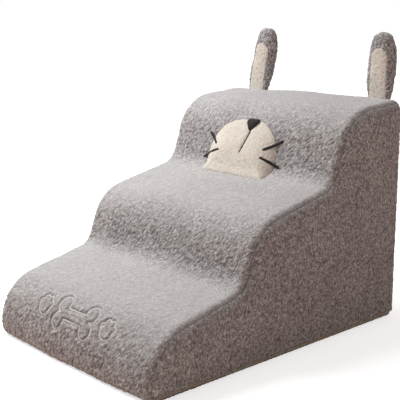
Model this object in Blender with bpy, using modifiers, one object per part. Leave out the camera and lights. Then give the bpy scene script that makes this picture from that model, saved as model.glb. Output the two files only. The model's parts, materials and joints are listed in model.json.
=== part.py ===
"""Plush-covered foam pet steps with a zipped cover, a sewn muzzle and two stuffed ears.

Metres, +Z up. The origin is the middle of the face that rests on the floor, the steps face -Y and the
animal climbs towards +Y. Right is +X.
"""

import math

import bmesh
import bpy
from mathutils import Matrix, Vector

# Overall sizes
WIDTH = 0.420  # over both side panels
STEPS = 3
RISE = 0.4 / 3  # floor to valley, valley to valley and valley to top
GOING = 0.216  # front line of one step to the front line of the next
TOP_DEPTH = 0.151  # front line of the top step to the back

# Shape of the stepped outline
TREAD_SLOPE = 0.225  # rise of a lower tread for each metre towards the back
TOP_SLOPE = 0.09  # the same on the top step
RISER_LEAN = 0.31  # how far a riser leans back for each metre of its height
NOSE_RADIUS = 0.085
VALLEY_RADIUS = 0.040
BACK_RADIUS = 0.018
ARC_STEP = math.radians(7.5)  # angle between neighbouring points of a round stretch

# Cover
COVER = 0.008  # backing cloth and pile together
CLEARANCE = 0.0003
SEAM_BEVEL = 0.003  # on a side panel's edges
BASE_CLOTH = 0.002
BASE_CORNER = 0.012
STRIP_TURN = 0.030  # how far the top strip comes down behind

# Muzzle, in the front view: across X and up from the second valley
MUZZLE_SHIFT = -0.018  # it is sewn on a little to the left
MUZZLE_WIDTH = 0.172
MUZZLE_DROP = 0.004  # how far its lower edge lies under the valley line
MUZZLE_HEIGHT = 0.096
MUZZLE_SQUARENESS = 2.8  # exponent of the superellipse
MUZZLE_POINTS = 24
PATCH = 0.002
NOSE_SHIFT = -0.006
NOSE_WIDTH = 0.034
NOSE_HEIGHT = 0.024
NOSE_CORNER = 0.0057  # radius of its three round corners
NOSE_OVER = 0.004  # how far it reaches past the top of the muzzle
MOUTH_LENGTH = 0.042
MOUTH_BEND = 0.010  # how far its lower end swings towards the muzzle's middle
STITCH = 0.0012  # radius of an embroidered line
STITCH_PARTS = 6  # straight parts of the mouth or of a whisker
WHISKER_LENGTH = 0.043
WHISKER_SPREAD = 0.057  # muzzle's middle to where a whisker starts
WHISKER_GAP = 0.014  # between the starts of the two whiskers on a side
WHISKERS = (("upper", 1, 32), ("lower", -1, -20))  # side of the gap and tilt in degrees

# Embroidery on the lowest nose, measured across X and along the outline
MOTIF_RUN = 0.078  # outline length from the floor to the middle of the motif
BONE_LENGTH = 0.100
BONE_SHAFT = 0.009  # half the height of the bone's shaft
BONE_KNOB = 0.013  # radius of each of its four knobs
PAW_OFFSET = 0.083  # middle of the bone to the middle of a paw
PAW_RADIUS = 0.015
TOES = 4
PAW_WAVE = 0.34  # how far the toes stand out, as a share of the radius
PAW_POINTS = 48

# Ears
EARS = (  # side, sign, side face to the middle of the foot, height, lean towards +X in degrees
    ("left", -1, 0.079, 0.125, 11.0),
    ("right", 1, 0.045, 0.117, 0.0),
)
EAR_SETBACK = 0.008  # back face to the middle of the foot
EAR_WIDTH = 0.060
EAR_THICKNESS = 0.026
EAR_FOOT = 0.009  # radius of the rounded foot, on which the ear bends
EAR_TIP_FULLNESS = 0.62  # exponents: 1 is an ellipse, and less is blunter
EAR_FOOT_FULLNESS = 0.38
EAR_FOOT_WIDTH = 0.86  # at the foot, as a share of the full width
EAR_FOOT_THICKNESS = 0.6  # the same for the thickness
EAR_FULL_AT = 0.8  # the share of its height where an ear is at its widest
EAR_CLOTH = 0.003
FILLING_EASE = 0.0022  # cloth to the filling, all round
LINING_WIDTH = 0.040
LINING_SHARE = 0.74  # of the ear's height that the lining covers
LINING_TAPER = 0.8  # its width at the foot, as a share of its full width
LINING = 0.0015

# Zip across the back
ZIP_HEIGHT = 0.060
ZIP_SLOT = 0.014
ZIP_MARGIN = 0.0217  # side panel to the end of the coils
ZIP_DEPTH = 0.0052  # face of the cover to the face of the tapes
TAPE = 0.0006
COIL_THICKNESS = 0.0020
COIL_HEIGHT = 0.0022
COIL_GAP = 0.0014
STOP_LENGTH = 0.003
SLIDER_LENGTH = 0.012
SLIDER_WIDTH = 0.0094
WING = 0.0010
WING_TAIL = 0.72  # the wing's width at its tail, as a share of its full width
POST = 0.0008
PULL_LENGTH = 0.026
PULL_WIDTH = 0.008
PULL_BAR = 0.0010
PULL_PLAY = 0.75  # pull's axis over the wing, in thicknesses of the pull
BAIL = 0.0010
BAIL_WIDTH = 0.0020
BAIL_SPAN = 0.0060

# Worked out from the sizes above
LENGTH = (STEPS - 1) * GOING + TOP_DEPTH
HEIGHT = STEPS * RISE
FRONT = -LENGTH / 2
BACK = LENGTH / 2
COVER_BOTTOM = BASE_CLOTH + CLEARANCE
INNER_HALF_WIDTH = WIDTH / 2 - COVER - CLEARANCE
ZIP_LENGTH = 2 * (INNER_HALF_WIDTH - ZIP_MARGIN)
OVERSHOOT = 0.02  # how far a cutter reaches past what it cuts

PLUSH_GREY = ("plush_grey", (0.47, 0.44, 0.43), 0.95, 0.0)
PLUSH_CREAM = ("plush_cream", (0.72, 0.66, 0.58), 0.95, 0.0)
THREAD_BLACK = ("thread_black", (0.02, 0.02, 0.02), 0.6, 0.0)
THREAD_PALE = ("thread_pale", (0.68, 0.65, 0.62), 0.6, 0.0)
BASE_FABRIC = ("base_fabric", (0.12, 0.11, 0.11), 0.8, 0.0)
FOAM = ("foam_core", (0.86, 0.82, 0.66), 0.9, 0.0)
FILLING = ("fibre_filling", (0.9, 0.9, 0.88), 1.0, 0.0)
TAPE_FABRIC = ("zip_tape", (0.38, 0.36, 0.35), 0.8, 0.0)
COIL_NYLON = ("zip_coil", (0.42, 0.40, 0.39), 0.45, 0.0)
ZIP_METAL = ("zip_metal", (0.55, 0.55, 0.56), 0.35, 1.0)


# ---------------------------------------------------------------- the scene

def clear_scene():
    for thing in list(bpy.data.objects):
        bpy.data.objects.remove(thing, do_unlink=True)


def new_collection(name):
    collection = bpy.data.collections.new(name)
    bpy.context.scene.collection.children.link(collection)
    return collection


def finish_of(spec):
    """The Principled material of one finish, made once."""
    name, colour, roughness, metallic = spec
    made = bpy.data.materials.get(name)
    if made:
        return made
    made = bpy.data.materials.new(name)
    made.use_nodes = True
    shader = made.node_tree.nodes["Principled BSDF"]
    shader.inputs["Base Color"].default_value = (*colour, 1.0)
    shader.inputs["Roughness"].default_value = roughness
    shader.inputs["Metallic"].default_value = metallic
    return made


def place(name, mesh, collection, finish=None, parent=None):
    piece = bpy.data.objects.new(name, mesh)
    collection.objects.link(piece)
    piece.parent = parent
    if finish:
        mesh.materials.append(finish_of(finish))
    return piece


def as_cutter(piece):
    piece.hide_render = True
    piece.display_type = "WIRE"
    return piece


def combine(piece, other, operation):
    modifier = piece.modifiers.new(operation.lower(), "BOOLEAN")
    modifier.operation = operation
    modifier.object = other


def bevel(piece, width, segments=2, angle=60):
    modifier = piece.modifiers.new("edges", "BEVEL")
    modifier.width = width
    modifier.segments = segments
    modifier.limit_method = "ANGLE"
    modifier.angle_limit = math.radians(angle)
    modifier.use_clamp_overlap = False


# ------------------------------------------------------- shapes from curves

SIDE_VIEW = Matrix(((0, 0, 1, 0), (1, 0, 0, 0), (0, 1, 0, 0), (0, 0, 0, 1)))  # outline Y,Z along X
FRONT_VIEW = Matrix(((1, 0, 0, 0), (0, 0, -1, 0), (0, 1, 0, 0), (0, 0, 0, 1)))  # outline X,Z along -Y
PLAN_VIEW = Matrix.Identity(4)  # outline X,Y along Z


def mesh_of_curve(curve):
    """The curve's closed mesh, with its caps welded to its sides."""
    holder = bpy.data.objects.new("guide", curve)
    bpy.context.scene.collection.objects.link(holder)
    graph = bpy.context.evaluated_depsgraph_get()
    mesh = bpy.data.meshes.new_from_object(holder.evaluated_get(graph))
    bpy.data.objects.remove(holder)
    work = bmesh.new()
    work.from_mesh(mesh)
    bmesh.ops.remove_doubles(work, verts=work.verts, dist=1e-6)
    bmesh.ops.recalc_face_normals(work, faces=work.faces)
    work.to_mesh(mesh)
    work.free()
    return mesh


def slab_mesh(outline, low, high, view):
    """A flat outline, extruded from low to high along the axis that the view looks down."""
    curve = bpy.data.curves.new("outline", "CURVE")
    curve.dimensions = "2D"
    curve.fill_mode = "BOTH"
    curve.extrude = (high - low) / 2
    spline = curve.splines.new("POLY")
    spline.points.add(len(outline) - 1)
    for point, (across, up) in zip(spline.points, outline):
        point.co = (across, up, 0.0, 1.0)
    spline.use_cyclic_u = True
    mesh = mesh_of_curve(curve)
    mesh.transform(view @ Matrix.Translation((0, 0, (high + low) / 2)))
    return mesh


def tube_mesh(points, radius, closed):
    curve = bpy.data.curves.new("line", "CURVE")
    curve.dimensions = "3D"
    curve.bevel_depth = radius
    curve.bevel_resolution = 1
    curve.use_fill_caps = True
    spline = curve.splines.new("POLY")
    spline.points.add(len(points) - 1)
    for point, place_at in zip(spline.points, points):
        point.co = (*place_at, 1.0)
    spline.use_cyclic_u = closed
    return mesh_of_curve(curve)


def box_mesh(low, high):
    mesh = bpy.data.meshes.new("box")
    work = bmesh.new()
    bmesh.ops.create_cube(work, size=1.0)
    middle = [(a + b) / 2 for a, b in zip(low, high)]
    sides = [b - a for a, b in zip(low, high)]
    bmesh.ops.transform(
        work, matrix=Matrix.Translation(middle) @ Matrix.Diagonal((*sides, 1.0)), verts=work.verts
    )
    work.to_mesh(mesh)
    work.free()
    return mesh


def arc(middle, radius, start, turn):
    """Points of an arc from the angle start, turned by turn, both ends included."""
    count = max(2, math.ceil(abs(turn) / ARC_STEP))
    angles = [start + turn * k / count for k in range(count + 1)]
    return [(middle[0] + radius * math.cos(a), middle[1] + radius * math.sin(a)) for a in angles]


def rounded_rectangle(half_width, half_height, radius):
    points = []
    for quarter, (x, y) in enumerate(((1, 1), (-1, 1), (-1, -1), (1, -1))):
        middle = (x * (half_width - radius), y * (half_height - radius))
        points += arc(middle, radius, quarter * math.pi / 2, math.pi / 2)
    return points


# --------------------------------------------------------- stepped outline

def step_corners():
    """(Y, Z, radius) of the sharp outline's corners, front to back. Each tread climbs to its valley."""
    nose_heights = [0.0] * STEPS
    nose_heights[-1] = HEIGHT - TOP_SLOPE * TOP_DEPTH
    valleys = []
    for step in range(STEPS - 1, 0, -1):
        valley_z = step * RISE
        valley_y = step * GOING - RISER_LEAN * (nose_heights[step] - valley_z)
        valleys.insert(0, (FRONT + valley_y, valley_z, VALLEY_RADIUS))
        nose_heights[step - 1] = valley_z - TREAD_SLOPE * (valley_y - (step - 1) * GOING)
    corners = []
    for step, nose_z in enumerate(nose_heights):
        corners.append((FRONT + step * GOING, nose_z, NOSE_RADIUS))
        if step < STEPS - 1:
            corners.append(valleys[step])
    return [*corners, (BACK, HEIGHT, BACK_RADIUS)]


def step_run(inset, front_bottom, back_bottom):
    """The stepped outline, inset from the cover's face, as an open path from the front to the back."""
    corners = [(FRONT, front_bottom, 0.0), *step_corners(), (BACK, back_bottom, 0.0)]
    points = [Vector((FRONT + inset, front_bottom))]
    for before, corner, after in zip(corners, corners[1:], corners[2:]):
        here = Vector(corner[:2])
        come = (here - Vector(before[:2])).normalized()
        leave = (Vector(after[:2]) - here).normalized()
        inward = [Vector((way.y, -way.x)) for way in (come, leave)]
        turn = math.atan2(come.x * leave.y - come.y * leave.x, come.dot(leave))
        moved = here + inset * (inward[0] + inward[1]) / (1 + inward[0].dot(inward[1]))
        side = -math.copysign(1.0, turn)  # 1 at a nose, which bulges, and -1 at a valley
        radius = corner[2] - side * inset
        start = moved - come * radius * math.tan(abs(turn) / 2)
        middle = start + side * inward[0] * radius
        spoke = start - middle
        points += [Vector(p) for p in arc(middle, radius, math.atan2(spoke.y, spoke.x), turn)]
    points.append(Vector((BACK - inset, back_bottom)))
    return points


def between(outline, low, high):
    """The part of a closed outline that lies between two heights."""
    for level, side in ((low, 1), (high, -1)):
        kept = []
        for k, here in enumerate(outline):
            before = outline[k - 1]
            was_in = side * (before.y - level) > 0
            is_in = side * (here.y - level) > 0
            if was_in != is_in:
                kept.append(before.lerp(here, (level - before.y) / (here.y - before.y)))
            if is_in:
                kept.append(here)
        outline = kept
    return outline


def on_steps(across, along, proud):
    """The place on the stepped face at X across and at that length of outline from the floor."""
    run = step_run(-proud, 0.0, 0.0)
    flat = step_run(0.0, 0.0, 0.0)
    walked = 0.0
    for start, end, low, high in zip(flat, flat[1:], run, run[1:]):
        stretch = (end - start).length
        if walked + stretch >= along:
            place_at = low.lerp(high, (along - walked) / stretch)
            return (across, place_at.x, place_at.y)
        walked += stretch
    return (across, run[-1].x, run[-1].y)


def run_at_height(height):
    """The length of outline from the floor to a height on the stepped face."""
    flat = step_run(0.0, 0.0, 0.0)
    walked = 0.0
    for start, end in zip(flat, flat[1:]):
        if end.y >= height:
            return walked + (end - start).length * (height - start.y) / (end.y - start.y)
        walked += (end - start).length
    return walked


# -------------------------------------------------------------------- core

def make_foam(collection):
    """Three glued slabs, one for each step, that meet behind each valley."""
    cuts = [COVER_BOTTOM, *(step * RISE - COVER for step in range(1, STEPS)), HEIGHT]
    outline = step_run(COVER + CLEARANCE, 0.0, 0.0)
    for name, low, high in zip(("base", "middle", "top"), cuts, cuts[1:]):
        shape = between(outline, low + CLEARANCE / 2, high - CLEARANCE / 2)
        mesh = slab_mesh(shape, -INNER_HALF_WIDTH + CLEARANCE, INNER_HALF_WIDTH - CLEARANCE, SIDE_VIEW)
        place(f"foam_{name}_block", mesh, collection, FOAM)


# ------------------------------------------------------------------- cover

def band_mesh(outer, inner, front_bottom, back_bottom, half_width):
    """A layer that follows the steps between two insets."""
    outside = step_run(outer, front_bottom, back_bottom)
    inside = step_run(inner, front_bottom, back_bottom)
    return slab_mesh([*outside, *reversed(inside)], -half_width, half_width, SIDE_VIEW)


def make_cover(collection):
    strip_end = HEIGHT - STRIP_TURN
    mesh = band_mesh(0.0, COVER, COVER_BOTTOM, strip_end, INNER_HALF_WIDTH)
    place("step_panel", mesh, collection, PLUSH_GREY)

    side = step_run(0.0, COVER_BOTTOM, COVER_BOTTOM)
    for name, low in (("left_side_panel", -WIDTH / 2), ("right_side_panel", WIDTH / 2 - COVER)):
        mesh = slab_mesh(side, low, low + COVER, SIDE_VIEW)
        bevel(place(name, mesh, collection, PLUSH_GREY), SEAM_BEVEL)

    slot = (ZIP_HEIGHT - ZIP_SLOT / 2, ZIP_HEIGHT + ZIP_SLOT / 2)
    panels = (
        ("back_panel_lower", COVER_BOTTOM, slot[0]),
        ("back_panel_upper", slot[1], strip_end - CLEARANCE),
    )
    for name, low, high in panels:
        mesh = box_mesh((-INNER_HALF_WIDTH, BACK - COVER, low), (INNER_HALF_WIDTH, BACK, high))
        place(name, mesh, collection, PLUSH_GREY)

    footprint = rounded_rectangle(WIDTH / 2, LENGTH / 2, BASE_CORNER)
    place("base_panel", slab_mesh(footprint, 0.0, BASE_CLOTH, PLAN_VIEW), collection, BASE_FABRIC)


# ------------------------------------------------------------------ muzzle

def muzzle_outline():
    """A dome in the front view: the upper half of a superellipse on a straight lower edge."""
    base = (STEPS - 1) * RISE - MUZZLE_DROP
    points = []
    for k in range(MUZZLE_POINTS + 1):
        angle = math.pi * k / MUZZLE_POINTS
        across = math.copysign(abs(math.cos(angle)) ** (2 / MUZZLE_SQUARENESS), math.cos(angle))
        up = math.sin(angle) ** (2 / MUZZLE_SQUARENESS)
        points.append((MUZZLE_SHIFT + across * MUZZLE_WIDTH / 2, base + up * MUZZLE_HEIGHT))
    return points


def nose_outline():
    """A triangle with round corners that points down, at the top of the muzzle."""
    top = (STEPS - 1) * RISE - MUZZLE_DROP + MUZZLE_HEIGHT
    upper = top - NOSE_CORNER + NOSE_OVER
    lower = upper - NOSE_HEIGHT + 2 * NOSE_CORNER
    side = NOSE_WIDTH / 2 - NOSE_CORNER
    return [
        *arc((NOSE_SHIFT - side, upper), NOSE_CORNER, math.pi / 2, math.pi * 2 / 3),
        *arc((NOSE_SHIFT, lower), NOSE_CORNER, math.pi * 7 / 6, math.pi * 2 / 3),
        *arc((NOSE_SHIFT + side, upper), NOSE_CORNER, -math.pi / 6, math.pi * 2 / 3),
    ]


def make_patch(name, outline, low, high, collection, cutters, finish):
    """A cloth patch: a layer that follows the top riser, trimmed to an outline in the front view."""
    half_width = abs(MUZZLE_SHIFT) + MUZZLE_WIDTH / 2 + OVERSHOOT
    band = band_mesh(-high, -low, COVER_BOTTOM, HEIGHT - STRIP_TURN, half_width)
    layer = place(name, band, collection, finish)
    top_front = FRONT + (STEPS - 1) * GOING
    prism = slab_mesh(outline, -top_front - TOP_DEPTH / 2, -top_front + GOING / 3, FRONT_VIEW)
    combine(layer, as_cutter(place(f"{name}_outline", prism, cutters)), "INTERSECT")


def surface_line(name, points, proud, collection, finish, closed=False):
    """An embroidered line on the steps through (across, along) points."""
    path = [on_steps(across, along, proud) for across, along in points]
    place(name, tube_mesh(path, STITCH, closed), collection, finish)


def make_muzzle(collection, cutters):
    patch_face = CLEARANCE + PATCH
    nose_low = patch_face + CLEARANCE
    make_patch("muzzle_patch", muzzle_outline(), CLEARANCE, patch_face, collection, cutters, PLUSH_CREAM)
    make_patch("nose_patch", nose_outline(), nose_low, nose_low + PATCH, collection, cutters, THREAD_BLACK)

    line_proud = patch_face + CLEARANCE + STITCH
    nose_foot = min(up for _, up in nose_outline())
    mouth_top = run_at_height(nose_foot) - 2 * STITCH - CLEARANCE
    parts = [k / STITCH_PARTS for k in range(STITCH_PARTS + 1)]
    mouth = [(NOSE_SHIFT - MOUTH_BEND * part ** 2, mouth_top - MOUTH_LENGTH * part) for part in parts]
    surface_line("mouth_stitch", mouth, line_proud, collection, THREAD_BLACK)

    middle = mouth_top - MOUTH_LENGTH
    for side, sign in (("left", -1), ("right", 1)):
        for height, above, tilt in WHISKERS:
            lean = math.radians(tilt)
            start = (MUZZLE_SHIFT + sign * WHISKER_SPREAD, middle + above * WHISKER_GAP / 2)
            points = []
            for part in parts:
                reach = WHISKER_LENGTH * part
                points.append((start[0] + sign * reach * math.cos(lean), start[1] + reach * math.sin(lean)))
            surface_line(f"whisker_{side}_{height}", points, line_proud, collection, THREAD_BLACK)


# -------------------------------------------------------------- embroidery

def bone_outline():
    """A bone: a shaft with two round knobs at each end."""
    knob_x = BONE_LENGTH / 2 - BONE_KNOB
    knob_y = BONE_KNOB
    meet = math.asin((knob_y - BONE_SHAFT) / BONE_KNOB)
    notch = math.acos(knob_y / BONE_KNOB)
    sweep = math.pi * 3 / 2 + meet - notch
    right_top = arc((knob_x, knob_y), BONE_KNOB, notch - math.pi / 2, sweep)
    right = [*((x, -y) for x, y in reversed(right_top[1:])), *right_top]
    return [*right, *((-x, -y) for x, y in right)]


def paw_outline(middle):
    """A paw: one closed line round a pad, whose upper edge has a wave for each toe."""
    points = []
    for k in range(PAW_POINTS):
        angle = 2 * math.pi * k / PAW_POINTS
        wave = PAW_WAVE * abs(math.sin(TOES * angle)) if math.sin(angle) > 0 else 0.0
        radius = PAW_RADIUS * (1 + wave)
        points.append((middle + radius * math.cos(angle), radius * math.sin(angle)))
    return points


def make_embroidery(collection):
    proud = CLEARANCE + STITCH
    motifs = (
        ("bone_embroidery", bone_outline()),
        ("paw_embroidery_left", paw_outline(-PAW_OFFSET)),
        ("paw_embroidery_right", paw_outline(PAW_OFFSET)),
    )
    for name, outline in motifs:
        points = [(across, MOTIF_RUN + up) for across, up in outline]
        surface_line(name, points, proud, collection, THREAD_PALE, closed=True)


# -------------------------------------------------------------------- ears

def ear_mesh(height, grow, segments=16, rings=12):
    """An ear that stands on its rounded foot, about the origin: wide in X, thin in Y, narrow at the foot."""
    mesh = bpy.data.meshes.new("ear")
    work = bmesh.new()
    bmesh.ops.create_uvsphere(work, u_segments=segments, v_segments=rings, radius=1.0)
    tall = height - EAR_FOOT
    for vert in work.verts:
        x, y, z = vert.co
        rise = (z + 1) / 2
        short_of_full = 1 - math.sin(min(rise / EAR_FULL_AT, 1.0) * math.pi / 2)
        half_width = EAR_WIDTH / 2 * (1 - (1 - EAR_FOOT_WIDTH) * short_of_full)
        half_thickness = EAR_THICKNESS / 2 * (1 - (1 - EAR_FOOT_THICKNESS) * short_of_full)
        out = max(math.hypot(x, y), 1e-9)
        round_off = out ** (EAR_TIP_FULLNESS if z > 0 else EAR_FOOT_FULLNESS) / out
        vert.co.x = x * round_off * (half_width + grow)
        vert.co.y = y * round_off * (half_thickness + grow)
        vert.co.z = -EAR_FOOT - grow + rise * (tall + EAR_FOOT + 2 * grow)
    work.to_mesh(mesh)
    work.free()
    return mesh


def open_foot(mesh):
    """Takes away the lowest ring of faces, where the filling goes in."""
    work = bmesh.new()
    work.from_mesh(mesh)
    foot = min(vert.co.z for vert in work.verts)
    lowest = [vert for vert in work.verts if vert.co.z < foot + 1e-6]
    bmesh.ops.delete(work, geom=lowest, context="VERTS")
    work.to_mesh(mesh)
    work.free()


def lining_outline(height):
    """A slot with a round top, from the ear's foot."""
    side = LINING_WIDTH / 2
    points = arc((0.0, LINING_SHARE * height - EAR_FOOT - side), side, 0.0, math.pi)
    return [*points, (-side * LINING_TAPER, 0.0), (side * LINING_TAPER, 0.0)]


def make_ear(side, sign, from_side, height, tilt, collection, cutters):
    """The foot stands on the round back edge, which sets the height of the joint."""
    reach = BACK_RADIUS + EAR_FOOT + CLEARANCE
    past_middle = BACK_RADIUS - EAR_SETBACK
    pivot = bpy.data.objects.new(f"{side}_ear_pivot", None)
    cutters.objects.link(pivot)
    edge_middle_z = HEIGHT - BACK_RADIUS
    foot_z = edge_middle_z + math.sqrt(reach ** 2 - past_middle ** 2)
    pivot.location = (sign * (WIDTH / 2 - from_side), BACK - EAR_SETBACK, foot_z)
    pivot.rotation_euler.y = math.radians(tilt)

    shell_mesh = ear_mesh(height, 0.0)
    open_foot(shell_mesh)
    shell = place(f"{side}_ear_shell", shell_mesh, collection, PLUSH_GREY, pivot)
    thicken = shell.modifiers.new("cloth", "SOLIDIFY")
    thicken.thickness = EAR_CLOTH
    thicken.offset = -1

    filling_mesh = ear_mesh(height, -EAR_CLOTH - FILLING_EASE)
    place(f"{side}_ear_filling", filling_mesh, collection, FILLING, pivot)

    lining = place(f"{side}_ear_lining", ear_mesh(height, CLEARANCE + LINING), collection, PLUSH_CREAM, pivot)
    inside = as_cutter(place(f"{side}_lining_inside", ear_mesh(height, CLEARANCE), cutters, parent=pivot))
    prism = slab_mesh(lining_outline(height), 0.0, EAR_THICKNESS, FRONT_VIEW)
    outline = as_cutter(place(f"{side}_lining_outline", prism, cutters, parent=pivot))
    combine(lining, outline, "INTERSECT")
    combine(lining, inside, "DIFFERENCE")


# --------------------------------------------------------------------- zip

def make_zip(collection):
    tape_face = BACK - ZIP_DEPTH
    slot_edge = ZIP_SLOT / 2 - CLEARANCE
    tape_half = INNER_HALF_WIDTH
    coil_low = tape_face + CLEARANCE
    coil_high = coil_low + COIL_THICKNESS
    for name, sign in (("lower", -1), ("upper", 1)):
        edges = sorted((ZIP_HEIGHT + sign * COIL_GAP / 2, ZIP_HEIGHT + sign * slot_edge))
        mesh = box_mesh((-tape_half, tape_face - TAPE, edges[0]), (tape_half, tape_face, edges[1]))
        place(f"zip_tape_{name}", mesh, collection, TAPE_FABRIC)
        edges = sorted((ZIP_HEIGHT + sign * COIL_GAP / 2, ZIP_HEIGHT + sign * (COIL_GAP / 2 + COIL_HEIGHT)))
        mesh = box_mesh((-ZIP_LENGTH / 2, coil_low, edges[0]), (ZIP_LENGTH / 2, coil_high, edges[1]))
        bevel(place(f"zip_coil_{name}", mesh, collection, COIL_NYLON), COIL_THICKNESS / 4)

    chain_half = COIL_GAP / 2 + COIL_HEIGHT
    for name, sign in (("left", -1), ("right", 1)):
        ends = sorted(sign * (ZIP_LENGTH / 2 + CLEARANCE + more) for more in (0.0, STOP_LENGTH))
        mesh = box_mesh(
            (ends[0], coil_low, ZIP_HEIGHT - chain_half), (ends[1], coil_high, ZIP_HEIGHT + chain_half)
        )
        bevel(place(f"zip_stop_{name}", mesh, collection, ZIP_METAL), COIL_THICKNESS / 5)


def wing_outline():
    """A slider's wing: round shoulders at the leading end and a narrower tail."""
    half = SLIDER_WIDTH / 2
    nose = SLIDER_LENGTH / 2 - half / 2
    tail = -SLIDER_LENGTH / 2
    return [
        *arc((nose, half / 2), half / 2, 0.0, math.pi / 2),
        (tail, half * WING_TAIL),
        (tail, -half * WING_TAIL),
        *arc((nose, -half / 2), half / 2, -math.pi / 2, math.pi / 2),
    ]


def make_slider(collection, cutters):
    """The slider at the closed end, and its pull, which lies back over the chain."""
    tape_face = BACK - ZIP_DEPTH
    start = ZIP_LENGTH / 2 - SLIDER_LENGTH / 2
    outer_low = tape_face + CLEARANCE + COIL_THICKNESS + CLEARANCE
    outer_high = outer_low + WING
    inner_high = tape_face - TAPE - CLEARANCE
    axis_y = outer_high + CLEARANCE + PULL_BAR * PULL_PLAY
    window_high = axis_y + PULL_BAR * PULL_PLAY + CLEARANCE

    carrier = bpy.data.objects.new("slider_place", None)
    cutters.objects.link(carrier)
    carrier.location = (start, 0.0, ZIP_HEIGHT)
    outer = slab_mesh(wing_outline(), -outer_high, -outer_low, FRONT_VIEW)
    body = place("zip_slider", outer, collection, ZIP_METAL, carrier)
    inner = slab_mesh(wing_outline(), -inner_high, -inner_high + WING, FRONT_VIEW)
    post_low = (-SLIDER_LENGTH / 4, inner_high - WING / 2, -POST / 2)
    post = box_mesh(post_low, (0.0, outer_low + WING / 2, POST / 2))
    bail_top = window_high + BAIL
    side = BAIL_WIDTH / 2
    arch = box_mesh((-BAIL_SPAN / 2, outer_low + WING / 2, -side), (BAIL_SPAN / 2, bail_top, side))
    half_window = BAIL_SPAN / 2 - BAIL
    window = box_mesh((-half_window, outer_high, -BAIL_WIDTH), (half_window, window_high, BAIL_WIDTH))
    for name, mesh, operation in (
        ("inner_wing", inner, "UNION"),
        ("post", post, "UNION"),
        ("bail", arch, "UNION"),
        ("bail_window", window, "DIFFERENCE"),
    ):
        combine(body, as_cutter(place(f"slider_{name}", mesh, cutters, parent=carrier)), operation)

    hinge = bpy.data.objects.new("pull_axis", None)
    cutters.objects.link(hinge)
    hinge.location = (start, axis_y, ZIP_HEIGHT)
    tab = rounded_rectangle(PULL_LENGTH / 2, PULL_WIDTH / 2, PULL_WIDTH / 3)
    shift = PULL_LENGTH / 2 - PULL_BAR / 2
    tab = [(x - shift, z) for x, z in tab]
    half = PULL_BAR / 2
    pull = place("zip_pull", slab_mesh(tab, -half, half, FRONT_VIEW), collection, ZIP_METAL, hinge)
    gap = BAIL_WIDTH / 2 + 2 * CLEARANCE
    hole_end = -half - BAIL_SPAN / 2 - 2 * CLEARANCE
    hole = box_mesh((hole_end, -OVERSHOOT / 4, -gap), (-half, OVERSHOOT / 4, gap))
    combine(pull, as_cutter(place("pull_hole", hole, cutters, parent=hinge)), "DIFFERENCE")


# ------------------------------------------------------------------- build

def build():
    clear_scene()
    pieces = new_collection("pet_steps")
    cutters = new_collection("cutters")
    make_foam(pieces)
    make_cover(pieces)
    make_muzzle(pieces, cutters)
    make_embroidery(pieces)
    for side, sign, from_side, height, tilt in EARS:
        make_ear(side, sign, from_side, height, tilt, pieces, cutters)
    make_zip(pieces)
    make_slider(pieces, cutters)
    for piece in pieces.objects:
        piece.data.shade_smooth()
        piece.data.set_sharp_from_angle(angle=math.radians(35))


build()
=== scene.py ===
# %% [markdown]
# # Plush pet steps with a sewn muzzle and two stuffed ears
# A foam body wears a zipped plush cover. One long strip runs over the three steps, a panel closes each
# side and two panels close the back. A cream muzzle with a black nose is sewn to the top riser, two
# stuffed ears stand on the back edge, and a bone between two paws is embroidered on the lowest step.
#
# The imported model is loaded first. It gives every size and place, and none of its parts is moved. Its
# box is kept now, because the finished looks have to stay inside it, apart from the depth of the pile.

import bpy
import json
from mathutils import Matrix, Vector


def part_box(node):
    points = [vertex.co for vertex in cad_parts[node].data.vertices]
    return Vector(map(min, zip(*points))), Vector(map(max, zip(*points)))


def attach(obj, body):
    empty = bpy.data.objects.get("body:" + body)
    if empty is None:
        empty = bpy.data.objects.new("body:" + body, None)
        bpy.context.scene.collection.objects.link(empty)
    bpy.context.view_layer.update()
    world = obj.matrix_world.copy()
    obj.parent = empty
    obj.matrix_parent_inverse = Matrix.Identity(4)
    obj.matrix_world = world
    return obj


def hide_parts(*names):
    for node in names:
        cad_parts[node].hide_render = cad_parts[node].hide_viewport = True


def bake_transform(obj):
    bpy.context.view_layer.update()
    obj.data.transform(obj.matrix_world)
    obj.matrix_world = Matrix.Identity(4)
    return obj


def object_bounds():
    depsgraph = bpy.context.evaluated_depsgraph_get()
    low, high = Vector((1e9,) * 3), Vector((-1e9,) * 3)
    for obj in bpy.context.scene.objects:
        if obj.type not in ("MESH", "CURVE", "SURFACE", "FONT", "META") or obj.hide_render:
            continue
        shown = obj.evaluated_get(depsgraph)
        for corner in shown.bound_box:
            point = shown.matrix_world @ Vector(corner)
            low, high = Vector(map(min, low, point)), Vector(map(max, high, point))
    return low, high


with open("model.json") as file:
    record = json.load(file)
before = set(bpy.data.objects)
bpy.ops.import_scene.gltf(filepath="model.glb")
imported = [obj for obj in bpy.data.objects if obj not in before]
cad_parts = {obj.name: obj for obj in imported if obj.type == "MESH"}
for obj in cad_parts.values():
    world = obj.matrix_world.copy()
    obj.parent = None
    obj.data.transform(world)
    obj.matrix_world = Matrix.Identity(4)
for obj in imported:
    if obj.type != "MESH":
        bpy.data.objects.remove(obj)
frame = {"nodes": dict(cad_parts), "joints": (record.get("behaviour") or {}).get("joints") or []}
cad_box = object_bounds()
print("CAD box, metres:", [round(high - low, 4) for low, high in zip(*cad_box)])

# %% [markdown]
# ## Camera
# The steps are seen from their front right corner, a little above the top tread, through a long lens
# that keeps the sides nearly parallel. The camera could be placed by eye, but a direction, a distance
# and a point inside the model's box are easier to correct one at a time, so its place is worked out from
# those.

# %% Camera
import math

import bpy
from mathutils import Vector

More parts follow.
